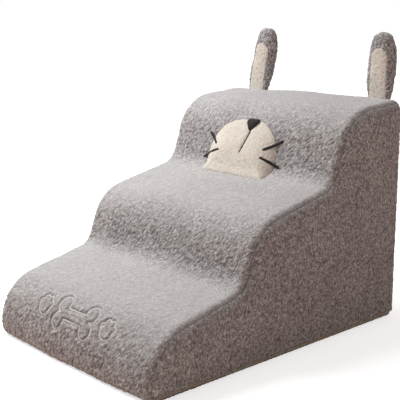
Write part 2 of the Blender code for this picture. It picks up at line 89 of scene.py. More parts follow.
AIM = (0.607, 0.415, 0.4614)  # share of the box's width, depth and height that the camera looks at
AZIMUTH = math.radians(47.34)
ELEVATION = math.radians(11.53)
DISTANCE = 1.436
LENS = 77.3

aim = Vector([low + (high - low) * share for low, high, share in zip(*cad_box, AIM)])
level = math.cos(ELEVATION)
away = Vector((math.sin(AZIMUTH) * level, -math.cos(AZIMUTH) * level, math.sin(ELEVATION)))
camera = bpy.data.objects.new("camera", bpy.data.cameras.new("camera"))
camera.data.lens = LENS
camera.location = aim + away * DISTANCE
camera.rotation_euler = (-away).to_track_quat("-Z", "Y").to_euler()
bpy.context.scene.collection.objects.link(camera)
bpy.context.scene.camera = camera
print("camera at", [round(v, 3) for v in camera.location])

# %% [markdown]
# ## The stepped outline
# The cover is cut to the foam, so every panel follows one outline: up the front, over three round noses
# and two valleys, and down the back. It could be drawn again from sizes, but then it could drift away
# from the model, so it is read from the rim of the side panel's solid. The solid's arcs are made of
# short straight runs. The outline is therefore measured out again at even steps and relaxed, which is
# what stretched plush does over cut foam. A small arc at each end takes the cover round the lower edge
# to its hem.

# %% Sizes of the cover, read from its side panel
panel_low, panel_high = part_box("right_side_panel")
half_width = panel_high.x
front, back, hem, top = panel_low.y, panel_high.y, panel_low.z, panel_high.z
cover_size = (2 * half_width, back - front, top)
print("cover's width, depth and height, metres:", [round(size, 3) for size in cover_size])

# %% Outline over the steps
import numpy as np

HEM_ROUND = 0.012  # radius of the lower edge
FINE = 0.001  # metres between the outline's points
RELAX_PASSES = 40


def arc(middle, radius, start, end, parts=8):
    """Points of an arc between two angles in degrees, both ends included."""
    angles = [math.radians(start + (end - start) * k / parts) for k in range(parts + 1)]
    return [(middle[0] + radius * math.cos(a), middle[1] + radius * math.sin(a)) for a in angles]


def rim_of_steps():
    """(Y, Z) of the side panel's rim, from the foot of the front to the top of the back."""
    middle = (panel_low.x + panel_high.x) / 2
    reach = (panel_high.x - panel_low.x) / 4
    rim = set()
    for vertex in frame["nodes"]["right_side_panel"].data.vertices:
        if abs(vertex.co.x - middle) < reach and vertex.co.z > hem + HEM_ROUND:
            rim.add((round(vertex.co.y, 5), round(vertex.co.z, 5)))
    return sorted(rim, key=lambda point: math.atan2(point[1] - hem, back - point[0]))


def evenly(points, step):
    """The same path, with its points a fixed step apart, and the length walked to each."""
    path = np.array(points, dtype=float)
    walked = np.concatenate(([0.0], np.cumsum(np.linalg.norm(np.diff(path, axis=0), axis=1))))
    at = np.linspace(0.0, walked[-1], round(walked[-1] / step) + 1)
    return np.column_stack([np.interp(at, walked, path[:, k]) for k in range(path.shape[1])]), at


def relaxed(path, passes):
    """The same path, with each point drawn towards its two neighbours once in each pass."""
    path = path.copy()
    for _ in range(passes):
        path[1:-1] = (path[:-2] + 2 * path[1:-1] + path[2:]) / 4
    return path


def outward(path):
    """Directions square to a path that runs over the steps from the front to the back."""
    way = np.gradient(path, axis=0)
    out = np.column_stack((-way[:, 1], way[:, 0]))
    return out / np.linalg.norm(out, axis=1, keepdims=True)


front_hem = (front + HEM_ROUND, hem + HEM_ROUND)
back_hem = (back - HEM_ROUND, hem + HEM_ROUND)
sharp = arc(front_hem, HEM_ROUND, 225, 180) + rim_of_steps() + arc(back_hem, HEM_ROUND, 0, -45)
outline, outline_at = evenly(relaxed(evenly(sharp, FINE)[0], RELAX_PASSES), FINE)
outline_out = outward(outline)
print("outline over the steps:", round(outline_at[-1], 3), "m")


# %% Places on the outline
def on_outline(along):
    """Places and outward directions on the outline, at lengths measured from the front hem."""
    place = np.column_stack([np.interp(along, outline_at, outline[:, k]) for k in range(2)])
    out = np.column_stack([np.interp(along, outline_at, outline_out[:, k]) for k in range(2)])
    return place, out / np.linalg.norm(out, axis=1, keepdims=True)


climb = int(np.argmax(outline[:, 1]))


def length_at_height(height):
    """The length of outline from the front hem to a height on the stepped face."""
    return float(np.interp(height, outline[:climb, 1], outline_at[:climb]))


muzzle_foot = length_at_height(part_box("muzzle_patch")[0].z)
print("length up to the muzzle's lower edge:", round(muzzle_foot, 3), "m")

# %% [markdown]
# ## Short plush, as a finish
# The cover is a short, dense plush. Its hairs stand in small clumps: the tips catch the light, and the
# roots between two clumps lie in shade. Both are painted into the colour: dark roots as painted shade and
# pale tips as painted light. An image could show this, but it would blur and repeat, so the colour is
# mixed from noise at three sizes: hairs, tufts and brushed patches. The first two are stretched and
# turned, which gives the streaks of a pile that leans. Two values that each cloth mesh stores at its
# points steer the rest: pile says whether a point is a root or a tip, and so how much painted shade it
# gets. It drops wherever the pile is held down, so seams, grooves and rims get painted shade. Laid
# says how far a level top is painted paler and more even: partly the flatter pile there, partly painted
# light on the upward faces. The sheen is the soft light that hair ends scatter at the edges. Fine bumps
# stand for hairs that are too thin to be modelled.

# %% A small helper for materials
def new_finish(name, roughness, sheen=0.0, metallic=0.0):
    """A material, its nodes, its links and its shader."""
    material = bpy.data.materials.new(name)
    material.use_nodes = True
    tree = material.node_tree
    shader = tree.nodes["Principled BSDF"]
    shader.inputs["Roughness"].default_value = roughness
    shader.inputs["Metallic"].default_value = metallic
    shader.inputs["Sheen Weight"].default_value = sheen
    shader.inputs["Sheen Roughness"].default_value = 0.45
    return material, tree, shader


def noise_node(tree, scale, detail=2.0, stretch=(1.0, 1.0, 1.0), lean=0.0):
    """Noise turned about Y by lean and then stretched. Scale is how many features fit in a metre."""
    where = tree.nodes.new("ShaderNodeTexCoord")
    mapping = tree.nodes.new("ShaderNodeMapping")
    mapping.vector_type = "TEXTURE"
    mapping.inputs["Scale"].default_value = tuple(1.0 / part for part in stretch)
    mapping.inputs["Rotation"].default_value = (0.0, lean, 0.0)
    tree.links.new(where.outputs["Object"], mapping.inputs["Vector"])
    texture = tree.nodes.new("ShaderNodeTexNoise")
    texture.inputs["Scale"].default_value = scale
    texture.inputs["Detail"].default_value = detail
    tree.links.new(mapping.outputs["Vector"], texture.inputs["Vector"])
    return texture


def ramp_node(tree, source, stops):
    """Colours along a value: stops are (place, colour)."""
    ramp = tree.nodes.new("ShaderNodeValToRGB")
    for _ in stops[2:]:
        ramp.color_ramp.elements.new(0.5)
    for element, (at, colour) in zip(ramp.color_ramp.elements, stops):
        element.position = at
        element.color = (*colour, 1.0)
    tree.links.new(source, ramp.inputs["Fac"])
    return ramp.outputs["Color"]


def coloured_by(tree, shader, source, stops, socket="Base Color"):
    """Sets one of the shader's sockets from a value, through a ramp."""
    tree.links.new(ramp_node(tree, source, stops), shader.inputs[socket])


def mix_node(tree, first, second, share, blend="MULTIPLY"):
    """Two colours mixed by a share, which is a number or another node's value."""
    mix = tree.nodes.new("ShaderNodeMix")
    mix.data_type = "RGBA"
    mix.blend_type = blend
    if isinstance(share, float):
        mix.inputs["Factor"].default_value = share
    else:
        tree.links.new(share, mix.inputs["Factor"])
    tree.links.new(first, mix.inputs["A"])
    tree.links.new(second, mix.inputs["B"])
    return mix.outputs["Result"]


def add_bump(tree, shader, height, strength, depth):
    """Small relief in the shading, depth metres high."""
    bump = tree.nodes.new("ShaderNodeBump")
    bump.inputs["Strength"].default_value = strength
    bump.inputs["Distance"].default_value = depth
    tree.links.new(height, bump.inputs["Height"])
    tree.links.new(bump.outputs["Normal"], shader.inputs["Normal"])


def grey(value):
    return (value, value, value)


# %% Plush finish
HAIR = 560.0  # features in a metre
TUFT = 420.0
BRUSHED = 17.0
LEAN = math.radians(36)  # the way the pile's streaks lean
STREAKS = (  # features in a metre, shade between them, and how they are stretched
    (HAIR, 0.50, (1.0, 1.0, 0.40)),
    (TUFT, 0.48, (1.0, 0.7, 0.30)),
    (BRUSHED, 0.90, (1.0, 1.0, 1.0)),
)
PRESSED_SHADE = 0.76  # between the hairs of pressed pile


def stored(tree, name):
    """A value that a mesh stores at its points."""
    node = tree.nodes.new("ShaderNodeAttribute")
    node.attribute_name = name
    return node.outputs["Fac"]


def plush(name, root, body, tip, sheen, contrast=1.0):
    """Short pile: painted shade at the roots, painted light at the tips, slow changes where it was
    brushed.
    """
    material, tree, shader = new_finish(name, 0.92, sheen)
    # Dark roots are painted shade between the clumps, and pale tips are painted light.
    colour = ramp_node(tree, stored(tree, "pile"), ((0.15, root), (0.48, body), (0.85, tip)))
    for scale, dark, stretch in STREAKS:
        texture = noise_node(tree, scale, 2.0, stretch, LEAN).outputs["Fac"]
        darkest = grey(1.0 - (1.0 - dark) * contrast)
        shade = ramp_node(tree, texture, ((0.38, darkest), (0.62, grey(1.0))))
        colour = mix_node(tree, colour, shade, 1.0)
    # On level tops the colour is mixed to a paler, even one: painted light on the upward faces.
    pressed_shade = tuple(PRESSED_SHADE * part for part in body)
    laid = ramp_node(tree, noise_node(tree, HAIR).outputs["Fac"], ((0.35, pressed_shade), (0.60, body)))
    colour = mix_node(tree, colour, laid, stored(tree, "laid"), "MIX")
    tree.links.new(colour, shader.inputs["Base Color"])
    add_bump(tree, shader, noise_node(tree, HAIR, 3.0).outputs["Fac"], 0.6, 0.0008)
    return material


GREYS = ((0.36, 0.340, 0.332), (0.60, 0.580, 0.571), (0.76, 0.742, 0.734))  # root (painted shade), body and tip (painted light)
CREAMS = ((0.65, 0.595, 0.50), (0.74, 0.69, 0.60), (0.80, 0.76, 0.67))
BLACKS = ((0.004, 0.004, 0.004), (0.012, 0.011, 0.010), (0.035, 0.033, 0.031))
grey_plush = plush("grey_plush", *GREYS, sheen=0.30)
cream_plush = plush("cream_plush", *CREAMS, sheen=0.20, contrast=0.22)
black_plush = plush("black_plush", *BLACKS, sheen=0.12)
print("finishes:", grey_plush.name, cream_plush.name, black_plush.name)

# %% [markdown]
# ## How the pile is grown
# Particle hair would look closest, but it isn't part of a mesh, so it would be lost when the model is
# used elsewhere. The cloth is instead meshed finely, two millimetres between points, and each point is
# lifted along its normal by the height of the clump that it is in. The clumps come from cell noise,
# stretched along the way the pile lies, and finer strands run through them. The tips also lean over that
# way, as a brushed pile does.

# %% Clumps of pile
from mathutils import noise

noise.seed_set(1)  # without a seed, vector noise would differ from run to run
GRAIN = 0.002  # metres between points of the cover
CLUMP_WIDTH = 0.0027
CLUMP_LENGTH = 0.0072
WARP = 0.007  # how far rows of clumps wander


def clump(across, along, seed, size=1.0):
    """From 0 at the roots between two clumps to 1 at the tip of one."""
    drift = noise.noise_vector(Vector((across, along, seed)) * 21.0) * WARP
    across = (across + drift.x) / (CLUMP_WIDTH * size)
    along = (along + drift.y) / (CLUMP_LENGTH * size)
    near = noise.voronoi(Vector((across, along, seed)))[0]
    dome = max(0.0, 1.0 - 1.3 * near[0] ** 2)
    crease = min(1.0, (near[1] - near[0]) / 0.4)
    strand = 0.5 + 0.8 * noise.noise(Vector((across * 1.9, along * 1.1, seed + 5.0)))
    return min(1.0, max(0.0, 1.5 * (0.35 * dome + 0.25 * crease + 0.40 * strand) - 0.28))


# %% Cloth pieces and the pile on them
PILE = 0.0022
PALER_TOP_SHARE = 0.62  # how far a level top is painted paler and evener: flatter pile and painted light
SHORTER = 0.4  # share of the pile's height that is lost there
TIP_LEAN = 0.7  # how far a tip leans over, as a share of its height


def cloth_mesh(name, places, faces, finish):
    """A new piece from points and faces, with its finish."""
    mesh = bpy.data.meshes.new(name)
    mesh.from_pydata([tuple(place) for place in places], [], faces)
    mesh.shade_smooth()
    mesh.materials.append(finish)
    piece = bpy.data.objects.new(name, mesh)
    bpy.context.scene.collection.objects.link(piece)
    return piece


def points_and_normals(mesh):
    """Places and normals of a mesh's points."""
    places = np.empty(len(mesh.vertices) * 3)
    mesh.vertices.foreach_get("co", places)
    normals = np.empty(len(mesh.vertices) * 3)
    mesh.vertex_normals.foreach_get("vector", normals)
    return places.reshape(-1, 3), normals.reshape(-1, 3)


def grow_pile(piece, pattern, combed, seed, turn=0.0, pile=PILE, size=1.0, standing=None, pressed=None):
    """Lifts a smooth cloth into clumps. Pattern is (across, along) of each point on the flat cloth, and
    combed is the way the tips lean. Standing is the share of pile left at a point, and pressed is how far
    it is held down."""
    places, normals = points_and_normals(piece.data)
    cos, sin = math.cos(turn), math.sin(turn)
    heights = np.array([clump(a * cos - b * sin, a * sin + b * cos, seed, size) for a, b in pattern])
    standing = np.ones(len(places)) if standing is None else standing
    pressed = np.zeros(len(places)) if pressed is None else pressed
    level = np.clip(normals[:, 2], 0.0, 1.0) ** 2
    lift = pile * heights * standing * (1.0 - SHORTER * level)
    lean = np.array(combed) - normals * (normals @ np.array(combed))[:, None]
    places += normals * (lift - pressed)[:, None] + lean * (TIP_LEAN * lift)[:, None]
    piece.data.vertices.foreach_set("co", places.ravel())
    # Level tops get the paler, even colour: painted light on the upward faces, with the flatter pile.
    laid = PALER_TOP_SHARE * level * standing
    # A low standing share lowers the pile value, so seams, grooves, rims and stitches get the dark root
    # colour: painted shade.
    for name, values in (("pile", heights * (0.4 + 0.6 * standing)), ("laid", laid)):
        layer = piece.data.attributes.new(name, "FLOAT", "POINT")
        layer.data.foreach_set("value", values.astype(np.float32))
    piece.data.update()
    return piece


# %% [markdown]
# ## Cover panels
# Two panels meet in a seam at every edge of the cover. The edge is soft, because the foam under it
# gives, and the seam thread draws it into a crease where the pile is trapped. Both panels therefore fall
# away round the same small radius until they face each other halfway round, dip into the crease, and
# turn in as the seam allowance does. Stretching a flat sheet over the foam with a cloth simulation would
# need a cage of thousands of held points to keep its seams in place, so the panels are shaped directly,
# and their open edges are tucked in last.

# %% Round edges, creases and tucked seam allowances
import bmesh

SEAM_ROUND = 0.019
SEAM_INSET = SEAM_ROUND * (1 - math.sin(math.radians(45)))  # side face to the seam
SEAM_DIP = 0.0013
SEAM_REACH = 0.0036  # how far from a seam its thread is felt
TRAPPED = 0.42  # share of the pile that a seam traps, which also paints the crease darker as shade
ALLOWANCE = 0.005  # seam allowance


def edge_fall(inset):
    """How far a panel has fallen away at a distance from the face that it turns towards."""
    short = SEAM_ROUND - np.clip(inset, 0.0, SEAM_ROUND)
    return SEAM_ROUND - np.sqrt(SEAM_ROUND ** 2 - short ** 2)


def crease(distance):
    """The dip beside a seam."""
    return SEAM_DIP * np.exp(-(np.maximum(distance, 0.0) / SEAM_REACH) ** 2)


def trapped(distance):
    """The share of pile that stands beside a seam."""
    return 1.0 - TRAPPED * np.exp(-(np.maximum(distance, 0.0) / SEAM_REACH) ** 2)


def tuck_in(piece, depth=ALLOWANCE):
    """Turns a panel's open edges inwards."""
    work = bmesh.new()
    work.from_mesh(piece.data)
    work.normal_update()
    rim = [edge for edge in work.edges if edge.is_boundary]
    old = {vertex: vertex.normal.copy() for edge in rim for vertex in edge.verts}
    made = bmesh.ops.extrude_edge_only(work, edges=rim)["geom"]
    for vertex in [item for item in made if isinstance(item, bmesh.types.BMVert)]:
        others = (edge.other_vert(vertex) for edge in vertex.link_edges)
        partner = next(other for other in others if other in old)
        vertex.co -= old[partner] * depth
    work.to_mesh(piece.data)
    work.free()


def grid_faces(rows, columns, flip=False):
    """Four-sided faces between rows of points."""
    faces = []
    for row in range(rows - 1):
        for column in range(columns - 1):
            corner = row * columns + column
            face = (corner, corner + 1, corner + columns + 1, corner + columns)
            faces.append(face[::-1] if flip else face)
    return faces


# %% [markdown]
# ## The strip over the steps
# The strip is the panel that shows most, so its shape carries the small signs of use: it crowns a little
# between its seams, it is not quite even, and short puckers run out of the side seams where the cloth is
# eased round a nose or into a valley. The pile is pressed flat under the muzzle and along the
# embroidered lines, and stands up again beside them, so that those lines lie sunk.

# %% Embroidered motif: bone and paws, as lines on the flat strip
THREAD = 0.0012  # the model's embroidered lines are this thick in radius
BONE_WAIST = 0.69  # half the shaft's height, as a share of a knob's radius
TOES = 4
TOE_WAVE = 0.34  # a toe's height, as a share of the pad's radius


def flat_box(node):
    """Middle and half sizes of an embroidered line on the flat strip, across and along."""
    low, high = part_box(node)
    bottom, upper = length_at_height(low.z), length_at_height(high.z)
    middle = ((low.x + high.x) / 2, (bottom + upper) / 2)
    return middle, ((high.x - low.x) / 2 - THREAD, (upper - bottom) / 2 - THREAD)


def bone_line(node):
    """A shaft with two round knobs at each end, as one closed line."""
    (across, along), (half_length, half_height) = flat_box(node)
    knob = half_height / 2
    meet = math.degrees(math.asin(1 - BONE_WAIST))
    corner = (half_length - knob, knob)
    upper = arc(corner, knob, -90, 180 + meet, 16)
    right = [*((x, -y) for x, y in reversed(upper[1:])), *upper]
    return [(across + x, along + y) for x, y in [*right, *((-x, -y) for x, y in right)]]


def paw_line(node):
    """One closed line round a pad, whose upper edge has a wave for each toe."""
    (across, along), (half_length, _) = flat_box(node)
    radius = half_length / (1 + TOE_WAVE * math.cos(math.pi / TOES / 2) ** 2)
    points = []
    for k in range(64):
        angle = 2 * math.pi * k / 64
        wave = TOE_WAVE * abs(math.sin(TOES * angle)) if math.sin(angle) > 0 else 0.0
        points.append((radius * (1 + wave) * math.cos(angle), radius * (1 + wave) * math.sin(angle)))
    drop = (max(y for _, y in points) + min(y for _, y in points)) / 2
    return [(across + x, along + y - drop) for x, y in points]


motif = {
    "bone_embroidery": bone_line("bone_embroidery"),
    "paw_embroidery_left": paw_line("paw_embroidery_left"),
    "paw_embroidery_right": paw_line("paw_embroidery_right"),
}
print("motif lines:", {name: len(line) for name, line in motif.items()}, "points")

# %% Where the pile is held down
from mathutils import geometry, kdtree

GROOVE = 0.0016  # depth of the groove along an embroidered line
GROOVE_REACH = 0.0027
RIDGE = 0.0009  # height of the pile that stands up again beside it


def near_tree(points):
    """A search tree over flat points."""
    tree = kdtree.KDTree(len(points))
    for k, (across, along) in enumerate(points):
        tree.insert((across, along, 0.0), k)
    tree.balance()
    return tree


def closed(line):
    """A line that comes back to its first point."""
    return [*line, line[0]]


def hull(points):
    """The points of a convex outline, in order."""
    return [points[k] for k in geometry.convex_hull_2d([Vector(point) for point in points])]


def front_outline(node):
    """A node's outline in the front view, laid on the flat strip."""
    seen = [(vertex.co.x, vertex.co.z) for vertex in frame["nodes"][node].data.vertices]
    return [(across, length_at_height(height)) for across, height in hull(seen)]


def rim_depth(rim):
    """A function that says how far a flat point lies inside a rim: less than 0 outside it."""
    tree = near_tree(rim)
    middle = np.mean(rim, axis=0)

    def depth(across, along):
        place, _, distance = tree.find((across, along, 0.0))
        inwards = (middle[0] - place.x) * (across - place.x) + (middle[1] - place.y) * (along - place.y)
        return math.copysign(distance, inwards)

    return depth


def groove(across, along):
    """Standing share of the pile, and how far it is pressed, beside the embroidered lines."""
    distance = sewn_lines.find((across, along, 0.0))[2]
    held = math.exp(-(distance / GROOVE_REACH) ** 2)
    shoulder = math.exp(-((distance - 2.2 * GROOVE_REACH) / GROOVE_REACH) ** 2)
    # Where the pile is held, its colour also turns to the dark roots: painted shade in the groove.
    return 1.0 - 0.95 * held + 0.25 * shoulder, GROOVE * held - RIDGE * shoulder


sewn_lines = near_tree([point for line in motif.values() for point in evenly(closed(line), FINE)[0]])
print("pile is held down along", sum(len(line) for line in motif.values()), "points of the motif")

# %% [markdown]
# The pile is also held down under the muzzle, so the muzzle's rim has to be known before the strip is
# made. It could be drawn again, but the model has the rim already, so its outline in the front view is
# laid on the flat strip. A stuffed patch is wider than it looks from the front and its lower corners are
# drawn in by the stuffing, so the rim is lengthened from its top down and its two lower corners are
# pulled in.

# %% Rim of the muzzle
MUZZLE_SHIFT = (0.005, -0.003)
MUZZLE_DRAWN = 0.04  # how much longer than in the model the swollen muzzle is cut, from its top down
PULLED_IN = (0.013, 0.007)  # how far its two lower corners are pulled in
LOWER_PART = 0.45  # share of its height over which they are
seen_rim = np.array(front_outline("muzzle_patch"))
low_corner, high_corner = seen_rim.min(axis=0), seen_rim.max(axis=0)
seen_rim[:, 1] -= MUZZLE_DRAWN * (high_corner[1] - seen_rim[:, 1])
share = (seen_rim - low_corner) / (high_corner - low_corner)
near_hem = np.clip(1.0 - share[:, 1] / LOWER_PART, 0.0, 1.0) ** 1.5
seen_rim[:, 0] += near_hem * (PULLED_IN[0] * (1.0 - share[:, 0]) - PULLED_IN[1] * share[:, 0])
seen_rim += MUZZLE_SHIFT
muzzle_rim = evenly(closed([tuple(point) for point in seen_rim]), FINE)[0][:-1]
muzzle_middle = muzzle_rim.mean(axis=0)
inside_muzzle = rim_depth(muzzle_rim)
print("muzzle's rim:", len(muzzle_rim), "mm round")

# %% Shape of the strip
CROWN = 0.0030  # swell in the middle of the strip
UNEVEN = 0.0013
PUCKER = 0.0011  # folds that run out of the side seams
PUCKER_REACH = 0.026


def swell(across, along):
    """How far the strip stands off the outline before its pile, at a flat point."""
    inset = half_width - abs(across)
    free = 1.0 - math.exp(-(max(inset - SEAM_INSET, 0.0) / 0.03) ** 2)
    crown = CROWN * (1.0 - (across / half_width) ** 2)
    uneven = UNEVEN * 2.0 * noise.noise(Vector((across * 9.0, along * 11.0, 1.0)))
    side = 7.0 if across > 0 else 3.0
    folds = noise.noise(Vector((along * 34.0, side, 2.0)))
    folds += 0.6 * noise.noise(Vector((along * 80.0, side, 8.0)))
    pucker = PUCKER * folds * math.exp(-((inset - SEAM_INSET) / PUCKER_REACH) ** 2)
    return crown * free + uneven * free + pucker * min(1.0, (inset - SEAM_INSET) / 0.006)


def strip_surface(across, along, lift=0.0):
    """Places on the strip before its pile, or lifted off it."""
    place, out = on_outline(along)
    swollen = np.array([swell(a, b) for a, b in zip(across, along)])
    off = swollen - edge_fall(half_width - np.abs(across)) + lift
    return np.column_stack((across, place[:, 0] + out[:, 0] * off, place[:, 1] + out[:, 1] * off))


# %% The strip
UNDER_MUZZLE = 0.0012  # how far the muzzle presses the pile down
UNDER_REACH = 0.003
strip_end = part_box("back_panel_upper")[1].z
back_run = outline[climb:, 1][::-1]
strip_length = float(np.interp(strip_end, back_run, outline_at[climb:][::-1]))
COMBED_DOWN_STEPS = (0.30, -0.60, -0.70)


def flat_grid(width, length, grain, seed):
    """Flat points of a panel, a little uneven so that no row shows, with its rows and columns."""
    columns = round(width / grain) + 1
    rows = round(length / grain) + 1
    sides = np.linspace(-width / 2, width / 2, columns)
    across, along = np.meshgrid(sides, np.linspace(0.0, length, rows))
    shake = np.random.default_rng(seed).uniform(-0.28, 0.28, (2, rows, columns)) * grain
    shake[:, :, (0, -1)] = 0.0
    shake[:, (0, -1), :] = 0.0
    return (across + shake[0]).ravel(), (along + shake[1]).ravel(), rows, columns


across, along, rows, columns = flat_grid(2 * (half_width - SEAM_INSET), strip_length, GRAIN, 1)
strip = cloth_mesh(
    "step_panel_plush", strip_surface(across, along), grid_faces(rows, columns), grey_plush
)
from_seam = np.minimum(half_width - SEAM_INSET - np.abs(across), strip_length - along)
standing = trapped(from_seam)
pressed = crease(from_seam)
for k, (a, b) in enumerate(zip(across, along)):
    share, depth = groove(a, b)
    under = min(1.0, max(0.0, inside_muzzle(a, b) / UNDER_REACH))
    standing[k] *= share * (1.0 - under)
    pressed[k] += depth + UNDER_MUZZLE * under
grow_pile(strip, zip(across, along), COMBED_DOWN_STEPS, 11.0, LEAN, standing=standing, pressed=pressed)
tuck_in(strip)
print("strip:", len(strip.data.polygons), "faces,", round(strip_length, 3), "m long")

# %% Strip: body and node
FOAM_BLOCKS = ["foam_base_block", "foam_middle_block", "foam_top_block"]
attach(strip, "steps")
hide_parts("step_panel")

# %% [markdown]
# ## Side panels
# Each side is one flat piece of plush, cut to the stepped outline. A grid of squares would leave teeth
# along a stepped edge, so the rim is walked at even steps, the inside is strewn with points in staggered
# rows, and a Delaunay fill joins them. Where the panel lies flat the foam pushes it out slightly, and
# near its rim it falls away round the same radius as the strip does, so the two meet in the seam.

# %% The panel's flat pattern
CLEAR = 0.6  # share of a grain that strewn points keep away from a rim
underside = [*arc(back_hem, HEM_ROUND, -45, -90), *arc(front_hem, HEM_ROUND, 270, 225)]
rim_points = np.vstack((outline, evenly(underside, FINE)[0][1:-1]))
way = np.roll(rim_points, -1, axis=0) - np.roll(rim_points, 1, axis=0)
rim_out = np.column_stack((-way[:, 1], way[:, 0])) / np.linalg.norm(way, axis=1, keepdims=True)
rim_tree = near_tree(rim_points)


def inside_rim(y, z):
    """How far a point of the side view lies inside the outline."""
    _, index, _ = rim_tree.find((y, z, 0.0))
    return float((rim_points[index] - (y, z)) @ rim_out[index])


def strewn(low, high, grain, keep, seed):
    """Points in staggered rows, shaken a little, where keep says so."""
    chance = np.random.default_rng(seed)
    points = []
    row_gap = grain * math.sqrt(3) / 2
    for row in range(int((high[1] - low[1]) / row_gap) + 1):
        for column in range(int((high[0] - low[0]) / grain) + 2):
            shake = chance.uniform(-0.22, 0.22, 2) * grain
            point = (low[0] + (column - row % 2 / 2) * grain + shake[0], low[1] + row * row_gap + shake[1])
            if keep(*point):
                points.append(point)
    return points


def filled(rim, inner):
    """Points and triangles of a flat shape with a rim and points inside it."""
    count = len(rim)
    edges = [(k, (k + 1) % count) for k in range(count)]
    points = [Vector(point) for point in (*rim, *inner)]
    made = geometry.delaunay_2d_cdt(points, edges, [], 1, 1e-7)
    return [tuple(point) for point in made[0]], [tuple(face) for face in made[2]]


seam_line = evenly(closed([tuple(p) for p in rim_points - rim_out * SEAM_INSET]), GRAIN)[0][:-1]
clear = SEAM_INSET + CLEAR * GRAIN
inner = strewn((front, hem), (back, top), GRAIN, lambda y, z: inside_rim(y, z) > clear, 2)
side_points, side_faces = filled([tuple(p) for p in seam_line], inner)
side_inset = np.array([inside_rim(y, z) for y, z in side_points])
print("side panel:", len(side_points), "points,", len(side_faces), "faces")

# %% Both side panels
COMBED_DOWN = (0.0, -0.35, -0.90)
SIDE_TURN = math.radians(20)
BULGE = 0.0026
BULGE_WAVE = 0.0016
side_area = sum(geometry.area_tri(*(Vector(side_points[k]) for k in face)) for face in side_faces)


def slow_waves(across, along, per_metre, seed):
    """Smooth noise at flat points."""
    flat = zip(across, along)
    return np.array([noise.noise(Vector((a * per_metre, b * per_metre, seed))) for a, b in flat])


def side_panel(name, sign, seed):
    """One side: a flat piece that bulges a little and rounds off to its seam."""
    free = 1.0 - np.exp(-(np.maximum(side_inset - SEAM_INSET, 0.0) / 0.05) ** 2)
    wave = slow_waves(*zip(*side_points), 9.0, seed)
    across = half_width - edge_fall(side_inset) + free * (BULGE + BULGE_WAVE * wave)
    places = [(sign * x, y, z) for x, (y, z) in zip(across, side_points)]
    faces = [face[::-1] for face in side_faces] if sign < 0 else side_faces
    piece = cloth_mesh(f"{name}_plush", places, faces, grey_plush)
    if piece.data.polygons[0].normal.x * sign < 0:
        piece.data.flip_normals()
    from_seam = side_inset - SEAM_INSET
    standing, pressed = trapped(from_seam), crease(from_seam)
    grow_pile(piece, side_points, COMBED_DOWN, seed, SIDE_TURN, standing=standing, pressed=pressed)
    tuck_in(piece)
    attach(piece, "steps")
    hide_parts(name)


side_panel("left_side_panel", -1, 21.0)
side_panel("right_side_panel", 1, 22.0)
print("side panel's flat area:", round(side_area, 4), "m2")

# %% [markdown]
# ## Back panels
# The back is closed by two plush panels with the zip between them. Each panel's edge is folded in along
# the zip, so the fold is part of the panel's path: in from the tape, round a small radius and along the
# back. The lower panel goes on round the lower edge to the hem.

# %% Shape of a back panel
ZIP_FOLD = 0.0035  # radius of the folded edge beside the zip
FOLD_IN = 0.0025  # how far the edge goes on inwards
STITCH_LINE = 0.0045  # fold to the row of stitches beside it
slot_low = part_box("back_panel_lower")[1].z
slot_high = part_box("back_panel_upper")[0].z


def back_panel(name, path, seed, seams, stitched):
    """A panel across the back: path is (Y, Z) from its lower edge up, seams the heights of its seams."""
    path, at = evenly(path, GRAIN / 2)
    path = relaxed(path, 4)
    across, along, rows, columns = flat_grid(2 * (half_width - SEAM_INSET), at[-1], GRAIN, int(seed))
    place = np.column_stack([np.interp(along, at, path[:, k]) for k in range(2)])
    out = -outward(path)
    out = np.column_stack([np.interp(along, at, out[:, k]) for k in range(2)])
    inset = half_width - np.abs(across)
    free = 1.0 - np.exp(-(np.maximum(inset - SEAM_INSET, 0.0) / 0.04) ** 2)
    wave = slow_waves(across, along, 8.0, seed)
    rise = np.minimum(1.0, np.maximum(place[:, 1] - slot_high, 0.0) / 0.05)
    off = free * rise * (0.0022 + 0.0012 * wave) - edge_fall(inset)
    places = np.column_stack((across, place[:, 0] + out[:, 0] * off, place[:, 1] + out[:, 1] * off))
    faces = grid_faces(rows, columns, flip=True)
    piece = cloth_mesh(f"{name}_plush", places, faces, grey_plush)
    from_seam = inset - SEAM_INSET
    for height in seams:
        from_seam = np.minimum(from_seam, np.abs(place[:, 1] - height))
    from_stitch = np.abs(place[:, 1] - stitched)
    held = np.exp(-(from_stitch / 0.0018) ** 2) * (place[:, 0] > back - ZIP_FOLD)
    # Standing drops at the stitches and in the fold by the zip, which gives them the dark root colour:
    # painted shade.
    standing = trapped(from_seam) * (1.0 - 0.85 * held)
    standing *= np.clip((place[:, 0] - (back - ZIP_FOLD - 0.001)) / ZIP_FOLD, 0.0, 1.0)
    pressed = crease(from_seam) + 0.0012 * held
    grow_pile(piece, zip(across, along), (0.0, 0.0, -1.0), seed, standing=standing, pressed=pressed)
    tuck_in(piece, FOLD_IN)
    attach(piece, "steps")
    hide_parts(name)
    return piece


# %% Both back panels
fold_y = back - ZIP_FOLD
upper_path = [
    (fold_y - FOLD_IN, slot_high),
    *arc((fold_y, slot_high + ZIP_FOLD), ZIP_FOLD, -90, 0),
    (back, strip_end),
]
lower_path = [
    *arc(back_hem, HEM_ROUND, -45, 0),
    *arc((fold_y, slot_low - ZIP_FOLD), ZIP_FOLD, 0, 90),
    (fold_y - FOLD_IN, slot_low),
]
upper_back = back_panel("back_panel_upper", upper_path, 31.0, (strip_end,), slot_high + STITCH_LINE)
lower_back = back_panel("back_panel_lower", lower_path, 32.0, (), slot_low - STITCH_LINE)
print("back panels:", len(upper_back.data.polygons), "and", len(lower_back.data.polygons), "faces")

